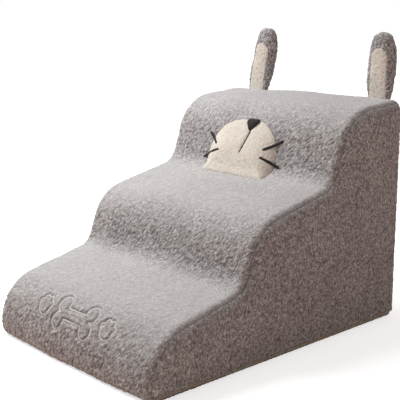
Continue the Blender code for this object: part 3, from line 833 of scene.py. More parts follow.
# %% [markdown]
# ## Muzzle
# The muzzle is a patch of cream plush with its edge turned under, sewn onto the top riser. It is stuffed
# a little, so it swells into two cheeks with the mouth between them, and its rim lies down in the grey
# pile. It is filled with points like a side panel and laid over the strip's own surface, so its rim
# follows the riser and the valley without a fit. Inside the rim the stuffing carries it straight across
# the valley. Each stitch at the rim holds it down at one place, which leaves small scallops.

# %% Mouth and whiskers, as lines on the flat strip
FACE_SHIFT = (0.006, 0.002)  # stuffing carries them this far across and up
MOUTH_BEND = 0.5
MOUTH_LONGER = 0.004


def slanted(node, inner_side, outer_is_high, inwards=0.0):
    """A whisker, from its end near the mouth to its outer end. It can start further inwards."""
    low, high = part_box(node)
    ends = [low.x + THREAD, high.x - THREAD]
    heights = [length_at_height(low.z + THREAD), length_at_height(high.z - THREAD)]
    start, end = ends if inner_side == "low" else ends[::-1]
    first, last = heights if outer_is_high else heights[::-1]
    return [(start - (end - start) * inwards, first - (last - first) * inwards), (end, last)]


def mouth_line():
    """From under the nose, down and a little to one side."""
    low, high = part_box("mouth_stitch")
    upper, lower = length_at_height(high.z - THREAD), length_at_height(low.z + THREAD) - MOUTH_LONGER
    bend = MOUTH_BEND * (high.x - low.x - 2 * THREAD)
    shares = [k / 8 for k in range(9)]
    return [(high.x - THREAD - bend * share ** 2, upper + (lower - upper) * share) for share in shares]


face_lines = {
    "mouth_stitch": mouth_line(),
    "whisker_left_upper": slanted("whisker_left_upper", "high", True),
    "whisker_left_lower": slanted("whisker_left_lower", "high", False, 0.35),
    "whisker_right_upper": slanted("whisker_right_upper", "low", True),
    "whisker_right_lower": slanted("whisker_right_lower", "low", False),
}
face_lines = {
    name: [(across + FACE_SHIFT[0], along + FACE_SHIFT[1]) for across, along in line]
    for name, line in face_lines.items()
}
mouth_tree = near_tree(evenly(face_lines["mouth_stitch"], FINE)[0])
print("face lines:", list(face_lines))

# %% The muzzle's lift off the strip
PATCH_LIFT = 0.0030
RIM_REACH = 0.0021  # rim to full lift
CHEEK = 0.0030
CHEEK_OFFSET = 0.040  # middle of the muzzle to the middle of a cheek
CHEEK_REACH = 0.034
CHEEK_START = 0.012  # rim to where a cheek begins to swell
MOUTH_DIP = 0.0022
MOUTH_REACH = 0.0040
SCALLOP = 0.0009
SCALLOP_PITCH = 0.0075  # one stitch to the next
muzzle_tree = near_tree(muzzle_rim)


def muzzle_lift(across, along):
    """How far the muzzle stands off the strip, at a flat point."""
    depth = max(0.0, inside_muzzle(across, along))
    rim_index = muzzle_tree.find((across, along, 0.0))[1]
    off_rim = 1.0 - math.exp(-depth / RIM_REACH)
    cheek = 0.0
    for side in (-1, 1):
        middle = (muzzle_middle[0] + side * CHEEK_OFFSET, muzzle_middle[1])
        cheek += math.exp(-((across - middle[0]) ** 2 + (along - middle[1]) ** 2) / CHEEK_REACH ** 2)
    cheek = CHEEK * min(1.0, cheek) * (1.0 - math.exp(-depth / CHEEK_START))
    from_mouth = mouth_tree.find((across, along, 0.0))[2]
    dip = MOUTH_DIP * math.exp(-(from_mouth / MOUTH_REACH) ** 2)
    held = 0.5 + 0.5 * math.cos(2 * math.pi * rim_index * FINE / SCALLOP_PITCH)
    scallop = SCALLOP * held * math.exp(-depth / (2 * RIM_REACH))
    return PATCH_LIFT * off_rim + cheek - dip * off_rim - scallop * off_rim


# %% How the stuffed muzzle bridges the valley
BRIDGE_REACH = 0.0030
SIDE_REACH = 0.012  # the stuffing thins out towards the sides
HEM_REACH = 0.02  # lower edge to where the sides begin
muzzle_hem = float(muzzle_rim[:, 1].min())


def bridged_outline():
    """The outline, with a straight run from the muzzle's lower edge to where it touches the riser."""
    foot = on_outline(np.array([muzzle_hem]))[0][0]
    above = (outline_at > muzzle_hem + 0.005) & (outline_at < float(muzzle_rim[:, 1].max()))
    steep = np.arctan2(outline[above, 1] - foot[1], outline[above, 0] - foot[0])
    touch = float(outline_at[above][int(np.argmax(steep))])
    run = (outline_at >= muzzle_hem) & (outline_at <= touch)
    share = ((outline_at[run] - muzzle_hem) / (touch - muzzle_hem))[:, None]
    path = outline.copy()
    path[run] = foot + (on_outline(np.array([touch]))[0][0] - foot) * share
    return relaxed(path, 60), touch


bridge, touch = bridged_outline()
bridge_out = outward(bridge)
print("muzzle bridges", round(1000 * (touch - muzzle_hem)), "mm of the valley")


def muzzle_surface(across, along, lift, depth):
    """The strip's surface at the rim, and the bridge inside it."""
    low = strip_surface(across, along)
    place = np.column_stack([np.interp(along, outline_at, bridge[:, k]) for k in range(2)])
    out = np.column_stack([np.interp(along, outline_at, bridge_out[:, k]) for k in range(2)])
    off = np.array([swell(a, b) for a, b in zip(across, along)]) + lift
    high = np.column_stack((across, place + out * off[:, None]))
    above_hem = np.clip((along - muzzle_hem) / HEM_REACH, 0.0, 1.0)
    reach = BRIDGE_REACH + (SIDE_REACH - BRIDGE_REACH) * above_hem
    share = (1.0 - np.exp(-np.maximum(depth, 0.0) / reach))[:, None]
    return low + (high - low) * share


# %% The muzzle patch
PATCH_GRAIN = 0.0016
SHORT_PILE = 0.0010


def patch_points(rim, depth, grain, seed, clear=CLEAR):
    """Points and triangles of a flat patch. Depth says how far inside its rim a point lies."""
    rim = evenly(closed([tuple(point) for point in rim]), grain)[0][:-1]
    inner = strewn(rim.min(axis=0), rim.max(axis=0), grain, lambda a, b: depth(a, b) > clear * grain, seed)
    return filled([tuple(point) for point in rim], inner)


def flat_area(points, faces):
    """Area of a flat patch."""
    return round(sum(geometry.area_tri(*(Vector(points[k]) for k in face)) for face in faces), 6)


def facing_front(piece):
    """Turns a patch's faces out, away from the steps."""
    if sum(face.normal.y for face in piece.data.polygons) > 0:
        piece.data.flip_normals()


points, faces = patch_points(muzzle_rim, inside_muzzle, PATCH_GRAIN, 3)
flat = np.array(points)
lift = np.array([muzzle_lift(a, b) for a, b in points])
from_rim = np.array([max(0.0, inside_muzzle(a, b)) for a, b in points])
places = muzzle_surface(flat[:, 0], flat[:, 1], lift, from_rim)
muzzle = cloth_mesh("muzzle_plush", places, faces, cream_plush)
facing_front(muzzle)
# The pile falls to nothing at the rim, which gives the rim the darker root colour: painted shade.
standing = 1.0 - np.exp(-from_rim / 0.0012)
grow_pile(muzzle, points, (0.0, -0.3, -0.7), 41.0, pile=SHORT_PILE, size=0.8, standing=standing)
tuck_in(muzzle, 0.002)
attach(muzzle, "steps")
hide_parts("muzzle_patch")
flat_area(points, faces)

# %% [markdown]
# ## Nose
# The nose is a small patch of black plush, a rounded triangle that points down, over the top of the
# muzzle's rim. It is cut and laid the same way, and domed more, because its edge is drawn tight round a
# scrap of wadding.

# %% The nose patch
NOSE_GRAIN = 0.0010
NOSE_DOME = 0.0024
NOSE_PILE = 0.0008
TURNED = 0.002  # edge of the patch that is turned under
NOSE_SIZE = 0.86  # share of its size in the model that still shows once it is turned under
NOSE_SHIFT = (0.005, -0.006)
nose_rim = np.array(front_outline("nose_patch"))
nose_rim = nose_rim.mean(axis=0) + NOSE_SHIFT + NOSE_SIZE * (nose_rim - nose_rim.mean(axis=0))
inside_nose = rim_depth(evenly(closed(nose_rim), FINE / 2)[0])


def under_nose(across, along):
    """Height over the strip of what the nose lies on."""
    muzzle_part = 0.9 * muzzle_lift(across, along) if inside_muzzle(across, along) > 0 else 0.0
    return UNDER_MUZZLE + muzzle_part


points, faces = patch_points(nose_rim, inside_nose, NOSE_GRAIN, 4)
flat = np.array(points)
depth = np.array([max(0.0, inside_nose(a, b)) for a, b in points])
under = np.array([under_nose(a, b) for a, b in points])
lift = under + NOSE_DOME * (1.0 - np.exp(-depth / 0.0030))
places = strip_surface(flat[:, 0], flat[:, 1], lift)
nose = cloth_mesh("nose_plush", places, faces, black_plush)
facing_front(nose)
# The pile falls to nothing at the rim, which gives the rim the darker root colour: painted shade.
standing = 1.0 - np.exp(-depth / 0.001)
grow_pile(nose, points, (0.0, -0.2, -0.5), 43.0, pile=NOSE_PILE, size=0.5, standing=standing)
tuck_in(nose, TURNED)
nose_size = flat.max(axis=0) - flat.min(axis=0)
nose_cut = nose_size + 2 * TURNED
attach(nose, "steps")
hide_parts("nose_patch")
round(flat_area(points, faces) * float(np.prod(nose_cut) / np.prod(nose_size)), 6)
print("nose:", len(faces), "faces")

# %% [markdown]
# ## Satin stitch
# The mouth, the whiskers and the motif on the lowest step are embroidered. In satin stitch one thread
# goes over the line from side to side, comes back underneath and lies down beside itself, which gives a
# raised cord with fine ribs across it. A plain tube would lose the ribs, so the thread itself is drawn.
# Its height is taken from the finished cloth under it, so it lies on the muzzle and in the groove that
# the pile leaves.

# %% Embroidery thread, as a finish
def thread_finish(name, colour, roughness):
    """Twisted thread: a soft shine, and a colour that varies a little along it."""
    material, tree, shader = new_finish(name, roughness)
    dark = tuple(0.7 * part for part in colour)
    coloured_by(tree, shader, noise_node(tree, 900.0).outputs["Fac"], ((0.35, dark), (0.65, colour)))
    add_bump(tree, shader, noise_node(tree, 2200.0, 1.0, (1.0, 0.4, 1.0)).outputs["Fac"], 0.4, 0.0003)
    return material


black_thread = thread_finish("black_thread", (0.010, 0.009, 0.009), 0.5)
pale_thread = thread_finish("pale_thread", (0.93, 0.91, 0.89), 0.5)

# %% Height of the finished cloth
from mathutils.bvhtree import BVHTree

ABOVE = 0.03  # further than any pile stands off the strip


def cloth_tree(piece):
    """A search tree over a piece's faces."""
    mesh = piece.data
    faces = [tuple(face.vertices) for face in mesh.polygons]
    return BVHTree.FromPolygons([vertex.co for vertex in mesh.vertices], faces)


def cloth_heights(trees, across, along):
    """Height of the finished cloth over the strip's smooth surface, along a line."""
    start = strip_surface(across, along, np.full(len(across), ABOVE))
    smooth = strip_surface(across, along)
    heights = []
    for high, low in zip(start, smooth):
        into = (Vector(low) - Vector(high)).normalized()
        hits = [tree.ray_cast(Vector(high), into)[3] for tree in trees]
        heights.append(ABOVE - min([hit for hit in hits if hit is not None], default=ABOVE))
    return np.array(heights)


# %% Drawing thread and wire
def drawn(name, runs, radius, finish, loop=False, sides=1):
    """Thread or wire through one or more runs of points, as one piece that stays with the steps."""
    curve = bpy.data.curves.new(name, "CURVE")
    curve.dimensions = "3D"
    curve.bevel_depth = radius
    curve.bevel_resolution = sides
    curve.use_fill_caps = not loop
    for run in runs:
        spline = curve.splines.new("POLY")
        spline.points.add(len(run) - 1)
        for point, place in zip(spline.points, run):
            point.co = (*place, 1.0)
        spline.use_cyclic_u = loop
    holder = bpy.data.objects.new(name, curve)
    bpy.context.scene.collection.objects.link(holder)
    graph = bpy.context.evaluated_depsgraph_get()
    mesh = bpy.data.meshes.new_from_object(holder.evaluated_get(graph))
    bpy.data.objects.remove(holder)
    mesh.name = name
    mesh.shade_smooth()
    mesh.materials.clear()
    mesh.materials.append(finish)
    piece = bpy.data.objects.new(name, mesh)
    bpy.context.scene.collection.objects.link(piece)
    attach(piece, "steps")
    return piece


# %% Laying a line of satin stitch
FLOSS = 0.00034  # radius of the thread
SATIN_PITCH = 0.00064
SATIN_TOP = 0.00072  # top of the stitch over the cloth
TIGHTENINGS = 250


def pulled_tight(heights):
    """The heights of a thread that is pulled tight over a surface, from one end to the other."""
    line = heights.copy()
    for _ in range(TIGHTENINGS):
        line = np.maximum(heights, relaxed(line, 4))
    return line


def satin(name, line, width, finish, trees, loop=False, tight=False):
    """One line of satin stitch that replaces the model's plain line of the same name."""
    path = evenly(closed(line) if loop else line, SATIN_PITCH)[0]
    under = cloth_heights(trees, path[:, 0], path[:, 1])[:, None]
    eased = pulled_tight(under) if tight else np.maximum(under, relaxed(under, 12))
    heights = relaxed(eased, 3)[:, 0]
    middle = strip_surface(path[:, 0], path[:, 1], heights)
    out = strip_surface(path[:, 0], path[:, 1], heights + 0.01) - middle
    out /= np.linalg.norm(out, axis=1, keepdims=True)
    way = np.gradient(middle, axis=0)
    side = np.cross(way, out)
    side /= np.linalg.norm(side, axis=1, keepdims=True)
    count = len(path)
    points = []
    for k in range(count - 1 if loop else count):
        ends = 1.0 if loop else min(1.0, 0.35 + min(k, count - 1 - k) / 5)
        half = side[k] * width / 2 * ends
        slant = way[k] * 0.5
        points.append(middle[k] - half - slant - out[k] * FLOSS)
        points.append(middle[k] - half * 0.5 + out[k] * SATIN_TOP)
        points.append(middle[k] + half * 0.5 + out[k] * SATIN_TOP)
        points.append(middle[k] + half + slant - out[k] * FLOSS)
        points.append(middle[k] + slant - out[k] * 2 * FLOSS)
    piece = drawn(f"{name}_satin", [points], FLOSS, finish, loop, sides=0)
    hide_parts(name)


# %% Mouth, whiskers, bone and paws
MOUTH_WIDTH = 0.0046
WHISKER_WIDTH = 0.0050
MOTIF_WIDTH = 0.0036
strip_tree, muzzle_cloth = cloth_tree(strip), cloth_tree(muzzle)
for name, line in face_lines.items():
    width = MOUTH_WIDTH if name == "mouth_stitch" else WHISKER_WIDTH
    tight = name != "mouth_stitch"
    satin(name, line, width, black_thread, (strip_tree, muzzle_cloth), tight=tight)
for name, line in motif.items():
    satin(name, line, MOTIF_WIDTH, pale_thread, (strip_tree,), loop=True)
print("satin lines:", len(face_lines) + len(motif))

# %% [markdown]
# ## Ears
# Each ear is a plush bag, sewn, turned and stuffed with fibre, then sewn into the back edge of the top
# step. Stuffing is pressure from inside, so the ear is made as the real one is: a slack skin round the
# filling is covered with even quads, and a cloth simulation blows it up until the cloth holds it. How
# far any point may move is capped, so the ear keeps its size. A stuffed ear is fuller than the plain
# solid, most of all at its foot, which runs down into the seam. The pile is grown on the result.
#
# Near its foot an ear is held by the cover and further up it swings.

# %% Swelling a skin with cloth simulation
FRAMES = 20


def settle(piece):
    """Makes the result of a piece's modifiers its mesh."""
    graph = bpy.context.evaluated_depsgraph_get()
    mesh = bpy.data.meshes.new_from_object(piece.evaluated_get(graph))
    piece.modifiers.clear()
    piece.data = mesh


def even_quads(piece, size):
    """Welds a solid and covers it again with quads of one size."""
    work = bmesh.new()
    work.from_mesh(piece.data)
    bmesh.ops.remove_doubles(work, verts=work.verts, dist=1e-5)
    work.to_mesh(piece.data)
    work.free()
    remesh = piece.modifiers.new("even", "REMESH")
    remesh.mode = "VOXEL"
    remesh.voxel_size = size
    settle(piece)


def inflate(piece, pressure, cap):
    """Blows up a closed skin. No point moves further than cap."""
    before = points_and_normals(piece.data)[0]
    cloth = piece.modifiers.new("cloth", "CLOTH")
    cloth.settings.use_pressure = True
    cloth.settings.uniform_pressure_force = pressure
    cloth.settings.effector_weights.gravity = 0.0
    cloth.point_cache.frame_start = 1
    cloth.point_cache.frame_end = FRAMES
    for moment in range(1, FRAMES + 1):
        bpy.context.scene.frame_set(moment)
    settle(piece)
    bpy.context.scene.frame_set(1)
    after = points_and_normals(piece.data)[0]
    move = after - before
    far = np.linalg.norm(move, axis=1, keepdims=True)
    move *= np.minimum(1.0, cap / np.maximum(far, 1e-9))
    piece.data.vertices.foreach_set("co", (before + move).ravel())
    piece.data.update()
    return float(np.minimum(far, cap).mean())


def subdivided(piece):
    """Splits each face in four and rounds them."""
    smooth = piece.modifiers.new("smooth", "SUBSURF")
    smooth.levels = smooth.render_levels = 1
    settle(piece)


# %% Shape of a stuffed ear
from mathutils import Matrix

FULLER = 1.08  # times the width of the model's filling
FULLER_FOOT = 0.30  # and this much more at its foot
FOOT_SPREAD = 0.060  # foot to where that ends
FORWARD = 0.016  # how far the fuller foot stands forward
THICKER = 1.30
TALLER = 1.03
EAR_DRAWN = 0.016  # length of the foot that is drawn down
EAR_QUAD = 0.0040


def ear_axes(side):
    """The ear's own frame: its origin on the joint, Z up the ear."""
    joint = next(joint for joint in frame["joints"] if joint["name"] == f"{side}_ear_bend")
    foot = Vector(joint["pos_m"])
    points = [vertex.co for vertex in frame["nodes"][f"{side}_ear_filling"].data.vertices]
    tip = max(points, key=lambda point: (point - foot).length)
    return Matrix.Translation(foot) @ Matrix.Rotation(math.atan2(tip.x - foot.x, tip.z - foot.z), 4, "Y")


def fuller(up):
    """How much wider than its solid an ear is when stuffed: most of all at its foot."""
    share = min(1.0, max(0.0, up / FOOT_SPREAD))
    return FULLER + FULLER_FOOT * (1.0 - share * share * (3.0 - 2.0 * share))


def ear_solid(side, name, finish, grow, sink=0.0, filled_out=False):
    """The ear's filling with even quads, grown outwards. Its foot can be drawn down into the seam."""
    mesh = frame["nodes"][f"{side}_ear_filling"].data.copy()
    mesh.name = name
    mesh.materials.clear()
    mesh.materials.append(finish)
    piece = bpy.data.objects.new(name, mesh)
    bpy.context.scene.collection.objects.link(piece)
    axes = ear_frames[side]
    for vertex in piece.data.vertices:
        own = axes.inverted() @ vertex.co
        full = fuller(own.z) if filled_out else 1.0
        own.x *= full
        own.y = own.y * (full * THICKER if filled_out else 1.0) - FORWARD * (full - 1.0)
        own.z *= TALLER if filled_out else 1.0
        own.z -= sink * min(1.0, max(0.0, 1.0 - own.z / EAR_DRAWN))
        vertex.co = axes @ own
    even_quads(piece, EAR_QUAD)
    places, normals = points_and_normals(piece.data)
    piece.data.vertices.foreach_set("co", (places + normals * grow).ravel())
    return piece


ear_frames = {side: ear_axes(side) for side in ("left", "right")}
leans = [round(math.degrees(axes.to_euler().y), 1) for axes in ear_frames.values()]
print("ears lean by", leans, "degrees")

# %% Skins of both ears
EAR_EASE = 0.0024  # filling to the slack skin
EAR_SINK = 0.018  # how far the foot is drawn down into the seam
EAR_PRESSURE = 4.0
EAR_CAP = 0.0022  # no point of the skin moves further


def ear_skin(side):
    """The ear's plush bag, blown up by its filling."""
    piece = ear_solid(side, f"{side}_ear_plush", grey_plush, EAR_EASE, EAR_SINK, True)
    swelled = inflate(piece, EAR_PRESSURE, EAR_CAP)
    print(side, "ear swelled by", round(1000 * swelled, 2), "mm on average")
    subdivided(piece)
    return piece


ear_skins = {side: ear_skin(side) for side in ("left", "right")}
print("ear skins:", [len(piece.data.polygons) for piece in ear_skins.values()], "faces")

# %% [markdown]
# ## Ear linings
# The inside of each ear is a slot of cream plush, sewn on before the ear is stuffed, so it lies a little
# sunk in the grey. It could be painted on the skin, but its rim would then have no edge. It is cut as a
# flat patch like the muzzle, the ear's front is pressed in under it, and each of its points is laid on
# that front.

# %% Rim and hollow of a lining
HOLLOW = 0.0016
HOLLOW_REACH = 0.007
LINING_FOOT = -0.014  # the lining runs down into the seam, past the joint
LINING_RISE = 1.05
LINING_FULLER = 0.84


def lining_rim(side):
    """The lining's rim in the ear's own frame, across and up."""
    back_to_ear = ear_frames[side].inverted()
    seen = [back_to_ear @ vertex.co for vertex in frame["nodes"][f"{side}_ear_lining"].data.vertices]
    rim = hull([(point.x, point.z) for point in seen])
    foot = min(up for _, up in rim)
    rim = [(across, LINING_FOOT if up < foot + 0.002 else up * LINING_RISE) for across, up in rim]
    return [(across * fuller(up) * LINING_FULLER, up) for across, up in rim]


def hollowed(skin, axes, depth):
    """Presses the front of an ear in under its lining."""
    places, normals = points_and_normals(skin.data)
    to_ear = axes.inverted()
    for k, place in enumerate(places):
        own = to_ear @ Vector(place)
        if normals[k][1] < -0.2:
            share = 1.0 - math.exp(-max(0.0, depth(own.x, own.z)) / HOLLOW_REACH)
            places[k] = place - normals[k] * HOLLOW * share
    skin.data.vertices.foreach_set("co", places.ravel())
    skin.data.update()


# %% Laying both linings
LINING_GRAIN = 0.0015
LINING_LIFT = 0.0016
LINING_SUNK = 0.0004  # its rim lies this far in the ear's pile
EAR_REACH = 0.05  # further than the ear's front stands from its middle


def on_ear_front(tree, axes, across, up):
    """The place on the front of the ear's skin, in the ear's own frame."""
    turn = axes.to_3x3() @ Vector((0.0, 1.0, 0.0))
    for share in (1.0, 0.94, 0.88, 0.8, 0.7, 0.5):
        start = axes @ Vector((across * share, -EAR_REACH, up))
        hit = tree.ray_cast(start, turn)[0]
        if hit is not None:
            return Vector((across, (axes.inverted() @ hit).y, up))
    return Vector((across, 0.0, up))


def ear_lining(side):
    """A slot of cream plush that follows the front of the ear."""
    axes, rim = ear_frames[side], lining_rim(side)
    depth = rim_depth(evenly(closed(rim), FINE / 2)[0])
    hollowed(ear_skins[side], axes, depth)
    tree = cloth_tree(ear_skins[side])
    points, faces = patch_points(rim, depth, LINING_GRAIN, 5)
    inset = np.array([max(0.0, depth(*point)) for point in points])
    lift = LINING_LIFT * (1.0 - np.exp(-inset / 0.0012))
    places = []
    for (across, up), height in zip(points, lift):
        own = on_ear_front(tree, axes, across, up)
        places.append(axes @ Vector((own.x, own.y - height + LINING_SUNK, own.z)))
    piece = cloth_mesh(f"{side}_ear_lining_plush", places, faces, cream_plush)
    facing_front(piece)
    # The pile falls to nothing at the rim, which gives the rim the darker root colour: painted shade.
    shown = 1.0 - np.exp(-inset / 0.0010)
    grow_pile(piece, points, (0.0, 0.0, 0.8), 51.0, pile=SHORT_PILE, size=0.8, standing=shown)
    tuck_in(piece, 0.0015)
    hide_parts(f"{side}_ear_lining")
    flat_area(points, faces)
    return piece


ear_linings = {side: ear_lining(side) for side in ("left", "right")}
print("ear linings:", [len(piece.data.polygons) for piece in ear_linings.values()], "faces")

# %% [markdown]
# ## Filling and pile of the ears
# The filling is a wad of crimped white fibre that follows the inside of the skin. Loose strands would
# never be seen, so it is one soft body with a cloudy finish.

# %% Fibre, as a finish
def fibre_wad(name):
    """Polyester fibre: white, matt and cloudy."""
    material, tree, shader = new_finish(name, 0.95, 0.5)
    cloud = noise_node(tree, 140.0, 5.0).outputs["Fac"]
    coloured_by(tree, shader, cloud, ((0.3, grey(0.62)), (0.7, grey(0.90))))
    add_bump(tree, shader, cloud, 0.8, 0.0015)
    return material


fibre = fibre_wad("fibre")
print("finish:", fibre.name)

# %% Pile and filling of both ears
EAR_PILE = 0.0019

for side, axes in ear_frames.items():
    skin = ear_skins[side]
    own = [axes.inverted() @ vertex.co for vertex in skin.data.vertices]
    pattern = [(point.x + 0.9 * point.y, point.z + 0.3 * point.y) for point in own]
    grow_pile(skin, pattern, (0.0, 0.0, 0.6), 61.0, pile=EAR_PILE, size=0.8)
    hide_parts(f"{side}_ear_shell")
    filling = ear_solid(side, f"{side}_ear_fibre", fibre, -0.001)
    subdivided(filling)
    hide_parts(f"{side}_ear_filling")
    for piece in (skin, ear_linings[side], filling):
        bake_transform(piece)

# %% [markdown]
# ## Base
# The steps stand on a tough dark cloth with rubber dots printed on it, so that they don't slide under a
# running animal. The cloth is sewn to the hems all round, a little above the floor, and only the dots
# touch the floor. The dots are too regular for noise and too high for a bump, so each one is a low dome.

# %% Woven cloth and rubber, as finishes
def woven(name, dark, pale, threads, roughness=0.8):
    """Plain weave: bands of warp and weft that pass over each other."""
    material, tree, shader = new_finish(name, roughness, 0.15)
    where = tree.nodes.new("ShaderNodeTexCoord")
    bands = []
    for direction in ("X", "Y"):
        wave = tree.nodes.new("ShaderNodeTexWave")
        wave.bands_direction = direction
        wave.inputs["Scale"].default_value = threads
        wave.inputs["Distortion"].default_value = 0.4
        tree.links.new(where.outputs["Object"], wave.inputs["Vector"])
        bands.append(wave.outputs["Fac"])
    cross = tree.nodes.new("ShaderNodeMath")
    cross.operation = "MULTIPLY"
    tree.links.new(bands[0], cross.inputs[0])
    tree.links.new(bands[1], cross.inputs[1])
    coloured_by(tree, shader, cross.outputs["Value"], ((0.1, dark), (0.8, pale)))
    add_bump(tree, shader, cross.outputs["Value"], 0.5, 0.0004)
    return material


def rubber(name, colour):
    """Soft rubber with a little dust on it."""
    material, tree, shader = new_finish(name, 0.5)
    dust = noise_node(tree, 500.0).outputs["Fac"]
    pale = tuple(1.5 * part for part in colour)
    coloured_by(tree, shader, dust, ((0.35, colour), (0.75, pale)))
    add_bump(tree, shader, dust, 0.2, 0.0002)
    return material


base_cloth_finish = woven("base_weave", (0.035, 0.032, 0.031), (0.085, 0.078, 0.075), 260.0)
grip_rubber = rubber("grip_rubber", (0.05, 0.047, 0.045))
print("finishes:", base_cloth_finish.name, grip_rubber.name)

# %% Base cloth
BASE_GRAIN = 0.005
BASE_CLEAR = 0.5
DOT_HEIGHT = 0.0011
BASE_EDGE = 0.0045  # how far the cloth climbs to the hem seam
BASE_EDGE_REACH = 0.0045


def rounded_rectangle(half_x, half_y, radius):
    """Outline of a rectangle with round corners."""
    points = []
    for turn, (x, y) in enumerate(((1, 1), (-1, 1), (-1, -1), (1, -1))):
        points += arc((x * (half_x - radius), y * (half_y - radius)), radius, 90 * turn, 90 * turn + 90)
    return points


half_length = (back - front) / 2
corner = HEM_ROUND - SEAM_INSET
base_rim = rounded_rectangle(half_width - SEAM_INSET, half_length - SEAM_INSET, corner)
base_rim = [(x, y + (front + back) / 2) for x, y in base_rim]
inside_base = rim_depth(evenly(closed(base_rim), FINE / 2)[0])


def base_height(x, y):
    """The cloth's height over the floor: level, and up to the hem at its rim."""
    climb_to_hem = max(0.0, 1.0 - max(0.0, inside_base(x, y)) / BASE_EDGE_REACH)
    return DOT_HEIGHT + BASE_EDGE * climb_to_hem ** 1.5


def base_cloth():
    """The anti-slip cloth, level over the floor and sewn to the hems."""
    points, faces = patch_points(base_rim, inside_base, BASE_GRAIN, 6, BASE_CLEAR)
    places = [(x, y, base_height(x, y)) for x, y in points]
    piece = cloth_mesh("base_cloth", places, faces, base_cloth_finish)
    if piece.data.polygons[0].normal.z > 0:
        piece.data.flip_normals()
    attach(piece, "steps")
    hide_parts("base_panel")
    flat_area(points, faces)
    print("base cloth:", len(faces), "faces")


base_cloth()

# %% Grip dots
DOT_PITCH = 0.0125
DOT_RADIUS = 0.0022
DOT_SIDES = 12


def dome(work, x, y):
    """One low dome that hangs from the cloth."""
    rings = []
    for share in (1.0, 0.72, 0.38):
        ring = arc((x, y), DOT_RADIUS * share, 0, 360 * (DOT_SIDES - 1) / DOT_SIDES, DOT_SIDES - 1)
        rings.append([work.verts.new((a, b, DOT_HEIGHT * share ** 2)) for a, b in ring])
    for outer, inner in zip(rings, rings[1:]):
        for k in range(DOT_SIDES):
            after = (k + 1) % DOT_SIDES
            work.faces.new((outer[k], inner[k], inner[after], outer[after]))
    work.faces.new(reversed(rings[-1]))


def grip_dots():
    """Low domes that hang from the base cloth, in staggered rows."""
    work = bmesh.new()
    row_gap = DOT_PITCH * math.sqrt(3) / 2
    count = 0
    for row in range(int(2 * half_length / row_gap)):
        for column in range(int(2 * half_width / DOT_PITCH) + 1):
            x = -half_width + (column + row % 2 / 2) * DOT_PITCH
            y = front + row * row_gap
            if inside_base(x, y) >= BASE_EDGE_REACH + DOT_RADIUS:
                dome(work, x, y)
                count += 1
    bmesh.ops.recalc_face_normals(work, faces=work.faces)
    mesh = bpy.data.meshes.new("grip_dots")
    work.to_mesh(mesh)
    work.free()
    mesh.shade_smooth()
    mesh.materials.append(grip_rubber)
    piece = bpy.data.objects.new("grip_dots", mesh)
    bpy.context.scene.collection.objects.link(piece)
    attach(piece, "steps")
    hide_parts("base_panel")
    return count


print("grip dots:", grip_dots())

# %% [markdown]
# ## Zip
# A zip across the back lets the cover come off for washing. Its tapes are woven ribbon, sewn under the
# folded edges of the back panels with a row of top stitching. Its teeth are two nylon coils, each one
# long wire wound in a flat helix, half a turn apart so that each turn sits between two turns of the
# other coil. A threaded texture on a bar would be flat from the side, so the wire is wound for real, and
# a slit stays free between the coils for the slider's post. The slider, its pull and the stops keep the
# model's solids, because the joints were tested on those, and get rounded edges and a worn metal finish.

# %% Nylon and zip tape, as finishes
tape_weave = woven("tape_weave", (0.20, 0.185, 0.178), (0.34, 0.32, 0.31), 420.0)


def nylon(name, colour):
    """Smooth nylon wire, a little uneven in its dye."""
    material, tree, shader = new_finish(name, 0.38)
    dark = tuple(0.8 * part for part in colour)
    coloured_by(tree, shader, noise_node(tree, 700.0).outputs["Fac"], ((0.3, dark), (0.7, colour)))
    add_bump(tree, shader, noise_node(tree, 1800.0, 1.0).outputs["Fac"], 0.15, 0.0001)
    return material


coil_nylon = nylon("coil_nylon", (0.30, 0.285, 0.275))
print("finishes:", tape_weave.name, coil_nylon.name)

# %% Tapes
TAPE_GRAIN = 0.0016
TAPE_WAVE = 0.00022
TAPE_SETBACK = 0.0002


def tape(node, seed):
    """A woven ribbon, a little wavy along its length."""
    low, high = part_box(node)
    length, width = high.x - low.x, high.z - low.z
    across, along, rows, columns = flat_grid(length, width, TAPE_GRAIN, seed)
    wave = TAPE_WAVE * slow_waves(across, along, 60.0, seed)
    places = np.column_stack((across, high.y - TAPE_SETBACK + wave, low.z + along))
    faces = grid_faces(rows, columns, flip=True)
    piece = cloth_mesh(f"{node}_weave", places, faces, tape_weave)
    tuck_in(piece, 0.0005)
    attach(piece, "steps")
    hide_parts(node)


tape("zip_tape_upper", 71)
tape("zip_tape_lower", 72)

# %% Coils
COIL_PITCH = 0.0015  # one turn to the next
WIRE = 0.00032  # radius of the wire
TURN_PARTS = 14


def coil(node, phase):
    """One wire wound round the long axis of the model's plain bar."""
    low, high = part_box(node)
    middle = (low + high) / 2
    half_y, half_z = (high.y - low.y) / 2 - WIRE, (high.z - low.z) / 2 - WIRE
    turns = int((high.x - low.x - 2 * WIRE) / COIL_PITCH)
    start = middle.x - turns * COIL_PITCH / 2
    points = []
    for k in range(turns * TURN_PARTS + 1):
        angle = 2 * math.pi * (k / TURN_PARTS + phase)
        y, z = middle.y + half_y * math.sin(angle), middle.z + half_z * math.cos(angle)
        points.append((start + COIL_PITCH * (k / TURN_PARTS), y, z))
    piece = drawn(f"{node}_wire", [points], WIRE, coil_nylon)
    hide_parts(node)
    return turns


print("coils of", coil("zip_coil_upper", 0.0), "and", coil("zip_coil_lower", 0.5), "turns")


# %% [markdown]
# ## Top stitching
# A row of stitches beside each folded edge holds the tape. A stitch is an arch of thread from one hole
# to the next, and the pile half hides it. A dashed line in the material would look printed on, so each
# stitch is laid between two places on the finished pile, and a row is one piece.

